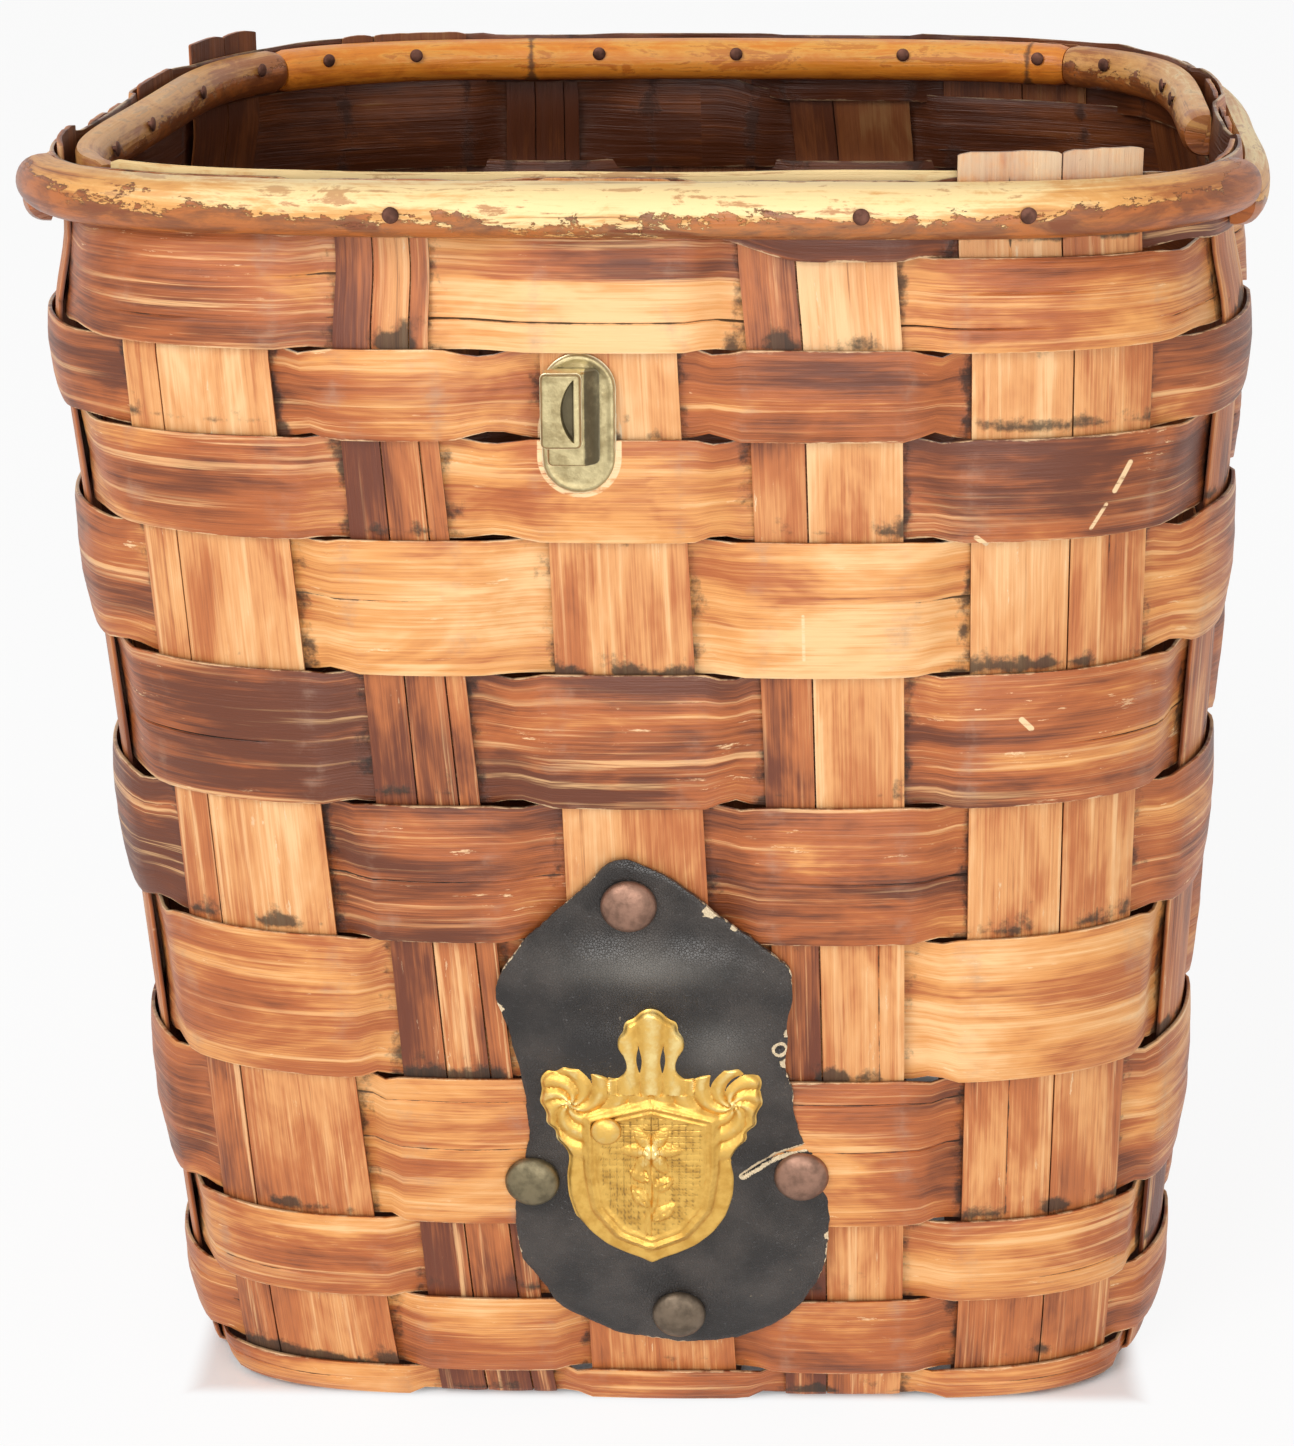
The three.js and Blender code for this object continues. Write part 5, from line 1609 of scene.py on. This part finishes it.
# The ragged outline: how far it strays over what length, and how far in it is drawn.
PATCH_RAGS = ((0.3 * MM, 6 * MM), (0.2 * MM, 1.7 * MM))
PATCH_INSET = 0.4 * MM
PATCH_STEPS, PATCH_PASSES = 600, 14
PATCH_SPREAD_SHARE = 0.99

# Painted highlights on the leather's swells, where they would catch the light: the height and its
# spread, the place across and its spread, and the strength.
SHEEN_SHARES = ((0.795, 0.035, -0.06, 0.2, 1), (0.64, 0.045, 0.16, 0.09, 0.6))

# The rings that its face is made of, the ends and the bend of the tear, and the eyelet.
PATCH_RING_SHARES = np.concatenate((np.linspace(0.01, 0.96, 84), (0.97, 0.98, 0.99, 1)))
TEAR_SHARES = ((0.235, 0.372), (0.33, 0.41), (0.415, 0.43))
EYELET_SHARES = (0.338, 0.628)

# The right half of the badge's outline, and of the field inside it.
BADGE_SHARES = (
    (0, 0), (0.04, 0.022), (0.12, 0.045), (0.21, 0.08), (0.29, 0.135), (0.345, 0.2), (0.375, 0.28),
    (0.38, 0.36), (0.365, 0.43), (0.385, 0.47), (0.43, 0.5), (0.42, 0.535), (0.475, 0.56),
    (0.46, 0.6), (0.5, 0.64), (0.48, 0.69), (0.495, 0.73), (0.455, 0.765), (0.42, 0.76),
    (0.39, 0.795), (0.345, 0.78), (0.31, 0.8), (0.27, 0.77), (0.22, 0.765), (0.16, 0.745),
    (0.12, 0.77), (0.125, 0.81), (0.165, 0.85), (0.155, 0.9), (0.115, 0.915), (0.12, 0.95),
    (0.07, 0.955), (0.05, 0.985), (0, 1),
)
FIELD_SHARES = (
    (0, 0.07), (0.16, 0.12), (0.27, 0.23), (0.3, 0.38), (0.3, 0.6), (0.15, 0.63), (0, 0.66),
)

# How the patch seats on the weave and the badge on the patch.
FACE_OFFSET = 2.75 * MM
SEAT_CLEARANCE = 0.35 * MM
PATCH_THICKNESS = 1.6 * MM
PATCH_SEAT = FACE_OFFSET + SEAT_CLEARANCE
BADGE_SEAT = PATCH_SEAT + PATCH_THICKNESS + SEAT_CLEARANCE

STUDS = ("top", "left", "right", "bottom")


def box_of(name):
    """The middle across, the width, the bottom and the height of a node's box."""
    low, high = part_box(name)
    return (low.x + high.x) / 2, high.x - low.x, low.z, high.z - low.z


def mirrored(shares):
    other = [(-across, rise) for across, rise in shares if across > 0]
    return (*shares, *reversed(other))


class PatchOperator(bpy.types.Operator):
    """Add the leather patch"""

    bl_idname = "basket.patch"
    bl_label = "Leather patch"

    def execute(self, context):
        settings = context.scene.basket_patch
        shape = PatchShape(settings.billow)
        build = Build()
        relief(
            build, shape.outline, PATCH_RING_SHARES, shape.heights, PATCH_SEAT, 0.0, wall_spot,
            # Here the tone mark carries the painted highlights.
            edge=edge_mark(shape.outline, PATCH_EDGE), dust=shape.chips, tone=shape.sheen,
        )
        piece = build.piece("leather_patch_sheet", leather_finish(settings))
        install(piece, "basket", "patch_leather", "leather_patch")
        return {"FINISHED"}


class PatchShape:
    """A ragged, billowing patch with a tear, an eyelet and chips out of its coating."""

    def __init__(self, billow):
        self.billow = billow
        self.middle, self.width, self.bottom, self.height = box_of("leather_patch")
        self.studs = np.array([stud_pose(f"patch_stud_{place}")[0][[0, 2]] for place in STUDS])
        self.tear = [self.spot(*shares) for shares in TEAR_SHARES]
        self.eyelet = self.spot(*EYELET_SHARES)
        box = (self.middle, self.width / PATCH_SPREAD_SHARE, self.bottom, self.height)
        outline, at = spread_outline(PATCH_SHARES[::-1], box, PATCH_STEPS)
        outline = softened(outline, PATCH_PASSES)
        centre = outline.mean(0)
        ragged = sum(
            stray * ripple(at / run, seed=81 + number)
            for number, (stray, run) in enumerate(PATCH_RAGS)
        )
        away = (outline - centre) / np.linalg.norm(outline - centre, axis=1, keepdims=True)
        self.outline = outline + away * (ragged - PATCH_INSET)[:, None]

    def spot(self, across, rise):
        width = self.width / PATCH_SPREAD_SHARE
        return np.array((self.middle + across * width, self.bottom + rise * self.height))

    def tear_gap(self, points):
        """How far each point is from the tear, which frays out towards the edge."""
        gaps = []
        for start, end in zip(self.tear[:-1], self.tear[1:]):
            run = end - start
            share = np.clip(((points - start) @ run) / (run @ run), 0, 1)
            gaps.append(np.linalg.norm(points - start - share[:, None] * run, axis=1))
        return np.min(gaps, axis=0)

    def chips(self, points):
        """Over 1 where the coating is gone: in chips, round the eyelet and along the tear."""
        ring = np.linalg.norm(points - self.eyelet, axis=1)
        worn = [1.2 * bump(self.tear_gap(points) - BARE_TEAR, BARE_FADE)]
        worn.append(1.2 * bump(ring - BARE_EYELET, BARE_FADE))
        for across, rise, radius in CHIPS:
            gap = np.linalg.norm(points - self.spot(across, rise), axis=1)
            worn.append(1.25 * bump(gap, radius))
        return np.maximum.reduce(worn)

    def heights(self, points):
        """How far the leather stands off the wood."""
        gap = np.linalg.norm(points[:, None] - self.studs[None], axis=-1).min(1)
        edge = -distance_to(points, self.outline)
        rise = (points[:, 1] - self.bottom) / self.height
        swell = self.billow * smooth(*STUD_HOLD, gap) * smooth(0, EDGE_HOLD, edge)
        x, z = points[:, 0], points[:, 1]
        waves = WRINKLE * ripple(x / WRINKLE_WIDTH, z / WRINKLE_HEIGHT, seed=83)
        for place, spread, depth in PATCH_FOLDS:
            waves = waves + depth * bump(rise - place, spread) * smooth(0, FOLD_HOLD, edge)
        waves = waves - HOLE_DEPTH * bump(self.tear_gap(points), TEAR_WIDTH)
        ring = np.linalg.norm(points - self.eyelet, axis=1)
        waves = waves - HOLE_DEPTH * bump(ring, EYELET_RADIUS)
        curl = ripple(x / CURL_SIZE, z / CURL_SIZE, seed=84)
        curl = CURL * (1 - smooth(0, CURL_REACH, edge)) * curl
        rounded = PATCH_ROUNDING * (1 - smooth(0, PATCH_ROUNDING_REACH, edge))
        return PATCH_THICKNESS + swell + np.maximum(waves + curl, -DEEPEST_CREASE) - rounded

    def sheen(self, points):
        """Painted highlights on the swell under the top stud, and on the one beside the badge's
        bud.
        """
        across = (points[:, 0] - self.middle) / self.width
        rise = (points[:, 1] - self.bottom) / self.height
        shine = sum(
            strength * bump(rise - height, tall) * bump(across - place, wide)
            for height, tall, place, wide, strength in SHEEN_SHARES
        )
        return np.clip(shine, 0, 1)


class BadgeOperator(bpy.types.Operator):
    """Add the gilt badge and its small stud"""

    bl_idname = "basket.badge"
    bl_label = "Badge"

    def execute(self, context):
        settings = context.scene.basket_metals
        material = metal_finish(
            "badge_gilt", settings.gilt, settings.gilt_dark, settings.gilt_bright, 0.3, 0.5
        )
        shape = BadgeShape()
        build = Build()
        relief(
            build, shape.outline, BADGE_RING_SHARES, shape.heights, BADGE_SEAT, 0.0, wall_spot,
            edge=shape.raised, grime=shape.hollows,
        )
        foot, axis, radius = stud_pose("badge_stud")
        turned(build, foot, axis, dome(radius, *BADGE_STUD_SHAPE), steps=32, edge=0.6)
        piece = build.piece("badge_relief", material)
        install(piece, "basket", "badge_gilt", "badge", "badge_stud")
        return {"FINISHED"}


def rounding(gap, reach):
    """A round swell: 1 where the gap is 0, down to 0 at its reach."""
    return np.sqrt(np.clip(1 - (gap / reach) ** 2, 0, 1))


# The sprig's leaves: the side, the height of the stalk as a share, the tilt and the length.
SPRIG_LEAVES = (
    (1, 0.2, 0.5, 9 * MM), (-1, 0.25, 0.7, 9.5 * MM), (1, 0.32, 0.35, 7.5 * MM),
    (-1, 0.36, 0.25, 7 * MM),
)
BADGE_RING_SHARES = np.concatenate((np.linspace(0.01, 0.97, 70), (0.98, 0.99, 1)))
BADGE_STEPS, FIELD_STEPS, BADGE_PASSES = 360, 200, 6

# The flower and its stem, with each part's height above the plate.
FLOWER_SHARE, STEM_FOOT_SHARE, STEM_TOP_SHARE = 0.47, 0.14, 0.42
PETAL_HEIGHT, PETAL_REACH, PETAL_SWING = 1.3 * MM, 7.2 * MM, 2.1 * MM
PETAL_RIB, RIB_WIDTH = 0.4 * MM, math.sqrt(0.5) * MM
HEART_HEIGHT, HEART_RADIUS = 1.5 * MM, 2.6 * MM
STEM_HEIGHT, STEM_WIDTH, STEM_SWAY = 0.8 * MM, 0.9 * MM, 1.4 * MM
LEAF_HEIGHT, LEAF_WIDTH, LEAF_RIB = 1.05 * MM, 2.3 * MM, 0.35 * MM
LEAF_BEND = 0.02 / MM

# The shield's field: two lines inside its edge (height, inset and width), and square checks.
FIELD_LINES = ((0.9 * MM, 1.8 * MM, 0.8 * MM), (0.45 * MM, 4 * MM, 0.45 * MM))
CHECK_PITCH, CHECK_DEPTH, CHECK_INSET = 4.2 * MM, 0.22 * MM, 5 * MM
SPRIG_INSET = 3 * MM
FIELD_SOFTNESS = 1 * MM

# The leaves that curl at each side, and the bud on top.
SCROLL_SHARES = (0.36, 0.64)
SCROLL_FOOT_SHARE = 0.42
SCROLL_HEIGHT, SCROLL_PITCH = 1.15 * MM, 2.2 * MM
EYE_HEIGHT, EYE_WIDTH = 0.5 * MM, 3 * MM
BUD_FOOT, BUD_SWELL = 0.35 * MM, 0.9 * MM
BUD_SHARES = (0.15, 0.72)
BUD_AREA_SHARES = (0.19, 0.68)
TAIL_HEIGHT = 0.2 * MM

# The plate under them: its rim's height, the field's step and bulge, and the bevelled edge.
BADGE_RIM = 1.7 * MM
FIELD_STEP, FIELD_BULGE = 1.4 * MM, 0.42 * MM
STEP_SPAN = (-0.6 * MM, 0.8 * MM)
BADGE_BEVEL = 1.6 * MM


class BadgeShape:
    """A checked shield with a flower and a leafy stem, curled side leaves and a bud on top."""

    def __init__(self):
        box = box_of("badge")
        self.middle, self.width, self.bottom, self.height = box
        self.outline, self.field = [
            softened(spread_outline(mirrored(shares), box, steps)[0], BADGE_PASSES)
            for shares, steps in ((BADGE_SHARES, BADGE_STEPS), (FIELD_SHARES, FIELD_STEPS))
        ]

    def sprig(self, x, z):
        """A flower on a stem with two pairs of curved leaves, in metres."""
        climb = z / self.height
        radius = np.hypot(x, z - FLOWER_SHARE * self.height)
        angle = np.arctan2(z - FLOWER_SHARE * self.height, x)
        petal = PETAL_REACH + PETAL_SWING * np.cos(6 * angle)
        rib = PETAL_RIB * bump(np.cos(3 * angle) * radius, RIB_WIDTH)
        flower = PETAL_HEIGHT * rounding(radius, petal) - rib
        heart = HEART_HEIGHT * rounding(radius, HEART_RADIUS)
        stem = STEM_HEIGHT * bump(x - STEM_SWAY * np.sin(26 * climb), STEM_WIDTH)
        stem = np.where((climb > STEM_FOOT_SHARE) & (climb < STEM_TOP_SHARE), stem, 0)
        found = [np.where(radius < petal, flower, 0) + heart, stem]
        for side, rise, tilt, long in SPRIG_LEAVES:
            dx, dz = side * x, z - rise * self.height
            along = dx * math.cos(tilt) + dz * math.sin(tilt)
            across = -dx * math.sin(tilt) + dz * math.cos(tilt) - LEAF_BEND * along ** 2
            share = np.clip(along / long, 0, 1)
            half = LEAF_WIDTH * np.sin(share * math.pi) ** 0.8 + 0.01 * MM
            blade = rounding(across, half) * (along > 0) * (share < 1)
            found.append(LEAF_HEIGHT * blade * (1 - 0.35 * bump(across, LEAF_RIB)))
        return np.maximum.reduce(found)

    def detail(self, points):
        """The relief above the plate, in metres."""
        x = points[:, 0] - self.middle
        z = points[:, 1] - self.bottom
        gap = distance_to(points, self.field)
        field = sum(height * bump(gap + inset, width) for height, inset, width in FIELD_LINES)
        grooves = [np.cos(way * math.tau / CHECK_PITCH) ** 40 for way in (x, z)]
        field = field - CHECK_DEPTH * np.maximum(*grooves) * (gap < -CHECK_INSET)
        field = field + self.sprig(x, z) * (gap < -SPRIG_INSET)
        side, climb = np.abs(x) / self.width, z / self.height
        curl_x = (side - SCROLL_SHARES[0]) * self.width
        curl_z = (climb - SCROLL_SHARES[1]) * self.height
        curl = np.hypot(curl_x, curl_z)
        turn = np.arctan2(curl_z, curl_x)
        leaves = SCROLL_HEIGHT * np.abs(np.sin(turn * 3.5 + curl / SCROLL_PITCH)) ** 0.8
        leaves = leaves + EYE_HEIGHT * bump(curl, EYE_WIDTH)
        tip = np.clip((climb - BUD_SHARES[1]) / (1 - BUD_SHARES[1]), 0, 1)
        bend = side / BUD_SHARES[0] * (1 - 0.35 * tip ** 2)
        bud = BUD_FOOT + BUD_SWELL * np.abs(np.cos(bend * math.pi * 1.5)) ** 0.6
        crest = (side < BUD_AREA_SHARES[0]) & (climb > BUD_AREA_SHARES[1])
        leaves = np.where(climb > SCROLL_FOOT_SHARE, leaves, TAIL_HEIGHT)
        inside = 1 - smooth(-FIELD_SOFTNESS, FIELD_SOFTNESS, gap)
        return inside * field + (1 - inside) * np.where(crest, bud, leaves)

    def heights(self, points):
        edge = -distance_to(points, self.outline)
        gap = distance_to(points, self.field)
        x = (points[:, 0] - self.middle) / self.width
        step = FIELD_STEP * (1 - smooth(*STEP_SPAN, gap))
        bulge = FIELD_BULGE * np.clip(1 - (2.6 * x) ** 2, 0, 1)
        bevel = 0.4 + 0.6 * smooth(0, BADGE_BEVEL, edge)
        return (BADGE_RIM + step + bulge + self.detail(points)) * bevel

    def raised(self, points):
        return np.clip(self.detail(points) / (1.5 * MM) - 0.15, 0, 0.8)

    def hollows(self, points):
        low = points[:, 1] < self.bottom + 0.66 * self.height
        return np.clip(0.5 - self.detail(points) / (0.5 * MM), 0, 1) * np.where(low, 0.7, 0.2)


class StudsOperator(bpy.types.Operator):
    """Add the patch's dome studs"""

    bl_idname = "basket.studs"
    bl_label = "Studs"

    def execute(self, context):
        settings = context.scene.basket_patch
        plating = {
            "top": settings.stud, "left": settings.stud_olive,
            "right": settings.stud, "bottom": settings.stud_dark,
        }
        for place, colour in plating.items():
            dark = tuple(0.55 * c for c in colour)
            bright = tuple(min(1, 1.5 * c) for c in colour)
            material = metal_finish(f"stud_plating_{place}", colour, dark, bright, 0.36, 0.75)
            node = f"patch_stud_{place}"
            foot, axis, radius = stud_pose(node)
            build = Build()
            turned(build, foot, axis, dome(radius, *STUD_SHAPE), steps=56, grime=0.2)
            install(build.piece(f"{node}_dome", material), "basket", "stud_bronze", node)
        return {"FINISHED"}


def capsule(box, corner, steps):
    """The outline of an upright plate with round corners, in metres."""
    x, width, z, height = box
    corner = min(corner, width / 2 - 0.01 * MM)
    arcs = []
    for across, rise, first in ((1, 0, -90), (1, 1, 0), (-1, 1, 90), (-1, 0, 180)):
        centre_x = x + across * (width / 2 - corner)
        centre_z = z + corner + rise * (height - 2 * corner)
        for angle in np.radians(np.linspace(first, first + 90, 12)):
            arcs.append((centre_x + corner * math.cos(angle), centre_z + corner * math.sin(angle)))
    return even_steps(np.array(arcs), steps)[0]


def flat_spot(front):
    """Places points on an upright plane instead of on the bowed wall."""
    return lambda x, z, offset: np.array((x, front - offset, z))


class CatchOperator(bpy.types.Operator):
    """Add the brass turn catch"""

    bl_idname = "basket.catch"
    bl_label = "Turn catch"

    def execute(self, context):
        settings = context.scene.basket_metals
        brass = metal_finish(
            "catch_brass", settings.brass, settings.brass_dark, settings.brass_bright, 0.32, 0.7
        )
        add_catch_plate(brass)
        add_collar(brass)
        add_button(brass)
        for name in ("catch_back_plate", "spindle_washer"):
            frame["nodes"][name].data.materials.clear()
            frame["nodes"][name].data.materials.append(brass)
        return {"FINISHED"}


# The catch's faces: their rings and the points round each of them.
CLOSE_RING_SHARES = np.concatenate((np.linspace(0.01, 0.9, 36), np.linspace(0.91, 1, 14)))
BOX_STEPS, BUTTON_STEPS, PRONG_STEPS = 240, 300, 24

# The plate, with the lip along its edge and its two prongs.
PLATE_THICKNESS = 1.2 * MM
FACE_HEIGHT, FACE_EDGE = 0.95 * MM, 0.8 * MM
LIP_HEIGHT, LIP_INSET, LIP_WIDTH = 0.25 * MM, 1.3 * MM, 0.8 * MM
PRONG_WIDTH, PRONG_THICKNESS, PRONG_INSET = 4 * MM, 1.2 * MM, 4 * MM

# How far in from its edge each of them is rubbed bright.
PLATE_RUB, BLOCK_RUB, BUTTON_RUB = 2.2 * MM, 1.2 * MM, 1.1 * MM

# The block, which slopes down at its right; the slope is darkened with painted shade.
BLOCK_CORNER = 1.6 * MM
SLOPE_WIDTH, SLOPE_INSET, BLOCK_EDGE = 4.6 * MM, 0.3 * MM, 0.7 * MM

# The button, its crowned face with a crescent scoop, and its spindle.
BUTTON_DEPTH, BUTTON_CROWN, BUTTON_EDGE = 5 * MM, 0.35 * MM, 0.8 * MM
CROWN_ROOM = 0.4 * MM
SCOOP_INSET, SCOOP_RADIUS, SCOOP_AWAY = 2.1 * MM, 13.2 * MM, 9.5 * MM
SCOOP_DEPTH, SCOOP_MARGIN, SCOOP_EDGE = 2.2 * MM, 1.8 * MM, 0.5 * MM
SPINDLE_RADIUS, SPINDLE_TIP, SPINDLE_BEVEL = 2.2 * MM, 1.8 * MM, 0.4 * MM


def add_catch_plate(brass):
    middle, width, bottom, height = box_of("catch_plate")
    low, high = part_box("catch_plate")
    outline = capsule((middle, width, bottom, height), width / 2, BOX_STEPS)
    front = low.y + PLATE_THICKNESS

    def heights(points):
        edge = -distance_to(points, outline)
        lip = LIP_HEIGHT * bump(edge - LIP_INSET, LIP_WIDTH)
        return FACE_HEIGHT * (0.35 + 0.65 * smooth(0, FACE_EDGE, edge)) + lip

    build = Build()
    relief(
        build, outline, CLOSE_RING_SHARES, heights, 0.0, 0.0, flat_spot(front),
        edge=edge_mark(outline, PLATE_RUB),
    )
    for side in (-1, 1):
        z = bottom + height / 2 + side * (height / 2 - PRONG_INSET) - PRONG_THICKNESS / 2
        box = (middle, PRONG_WIDTH, z, PRONG_THICKNESS)
        prong = capsule(box, PRONG_THICKNESS / 4, PRONG_STEPS)
        relief(
            build, prong, (0.01, 1.0), lambda p: np.zeros(len(p)), 0.0,
            -(high.y - front), flat_spot(front),
        )
    install(build.piece("catch_plate_face", brass), "basket", "catch_brass", "catch_plate")


def add_collar(brass):
    low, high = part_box("catch_collar")
    outline = capsule(box_of("catch_collar"), BLOCK_CORNER, BOX_STEPS)
    depth = high.y - low.y

    def heights(points):
        right = high.x - points[:, 0]
        slope = 0.22 + 0.78 * smooth(SLOPE_INSET, SLOPE_WIDTH, right)
        edge = -distance_to(points, outline)
        return depth * slope * (0.7 + 0.3 * smooth(0, BLOCK_EDGE, edge))

    build = Build()
    relief(
        build, outline, CLOSE_RING_SHARES, heights, 0.0, 0.0, flat_spot(high.y),
        edge=edge_mark(outline, BLOCK_RUB),
        # Painted shade on the slope at the right.
        grime=lambda p: 0.8 * (1 - smooth(0.8 * SLOPE_WIDTH, SLOPE_WIDTH, high.x - p[:, 0])),
    )
    install(build.piece("catch_collar_block", brass), "basket", "catch_brass", "catch_collar")


def add_button(brass):
    """The thumb piece with its crescent scoop, darkened with painted shade, and the spindle that
    carries it.
    """
    low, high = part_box("turn_button")
    points = node_points("turn_button")
    face = points[points[:, 1] < low.y + BUTTON_DEPTH - 0.1 * MM]
    left, right = face[:, 0].min(), face[:, 0].max()
    bottom, top = face[:, 2].min(), face[:, 2].max()
    back = low.y + BUTTON_DEPTH
    box = ((left + right) / 2, right - left, bottom, top - bottom)
    outline = capsule(box, BLOCK_CORNER, BUTTON_STEPS)
    scoop_right = right - SCOOP_INSET
    arc_centre = np.array((scoop_right + SCOOP_AWAY, (bottom + top) / 2))

    def scoop(p):
        inside_arc = SCOOP_RADIUS - np.linalg.norm(p - arc_centre, axis=1)
        wall = np.minimum(inside_arc, scoop_right - p[:, 0])
        ends = np.minimum(p[:, 1] - bottom, top - p[:, 1]) - SCOOP_MARGIN
        return smooth(0, SCOOP_EDGE, np.minimum(wall, ends))

    def heights(p):
        edge = -distance_to(p, outline)
        crown = BUTTON_CROWN * (1 - ((p[:, 0] - left) / (right - left) - 0.35) ** 2 * 3)
        rounded = 0.8 + 0.2 * smooth(0, BUTTON_EDGE, edge)
        return (BUTTON_DEPTH - CROWN_ROOM + crown) * rounded - SCOOP_DEPTH * scoop(p)

    build = Build()
    relief(
        build, outline, CLOSE_RING_SHARES, heights, 0.0, 0.0, flat_spot(back),
        # Painted shade in the scoop, and the rest of the face darkened a little.
        edge=edge_mark(outline, BUTTON_RUB), grime=lambda p: 0.3 + 0.7 * scoop(p),
    )
    joint = next(j for j in frame["joints"] if j["child"] == "turn_button")
    x, _, z = joint["pos_m"]
    tip = high.y - back
    spindle = (
        (0, 0), (SPINDLE_RADIUS, 0), (SPINDLE_RADIUS, tip - SPINDLE_BEVEL), (SPINDLE_TIP, tip),
        (0, tip),
    )
    turned(build, (x, back, z), (0, 1, 0), spindle, steps=32)
    install(build.piece("turn_button_wing", brass), "turn_button", "catch_brass", "turn_button")


class BasketPanel(bpy.types.Panel):
    """The basket's sizes, colours and steps"""

    bl_idname = "VIEW3D_PT_basket"
    bl_label = "Splint basket"
    bl_space_type = "VIEW_3D"
    bl_region_type = "UI"
    bl_category = "Basket"

    def draw(self, context):
        for group in SETTINGS:
            box = self.layout.box()
            settings = getattr(context.scene, group)
            for name in settings.bl_rna.properties.keys():
                if name not in ("rna_type", "name"):
                    box.prop(settings, name)
        for operator in OPERATORS:
            self.layout.operator(operator.bl_idname)


SETTINGS = {
    "basket_splints": SplintSettings,
    "basket_uprights": UprightSettings,
    "basket_rim": RimSettings,
    "basket_patch": PatchSettings,
    "basket_metals": MetalSettings,
    "basket_stage": StageSettings,
}
OPERATORS = (
    StageOperator, UprightsOperator, WeaversOperator, RimOperator, NailsOperator,
    PatchOperator, BadgeOperator, StudsOperator, CatchOperator,
)


def register():
    for group in (*SETTINGS.values(), *OPERATORS, BasketPanel):
        bpy.utils.register_class(group)
    for name, group in SETTINGS.items():
        setattr(bpy.types.Scene, name, bpy.props.PointerProperty(type=group))


def unregister():
    for name in SETTINGS:
        delattr(bpy.types.Scene, name)
    for group in reversed((*SETTINGS.values(), *OPERATORS, BasketPanel)):
        bpy.utils.unregister_class(group)


def main():
    register()
    for operator in OPERATORS:
        step = operator.bl_idname.split(".")[1]
        getattr(bpy.ops.basket, step)()


if __name__ == "__main__":
    main()
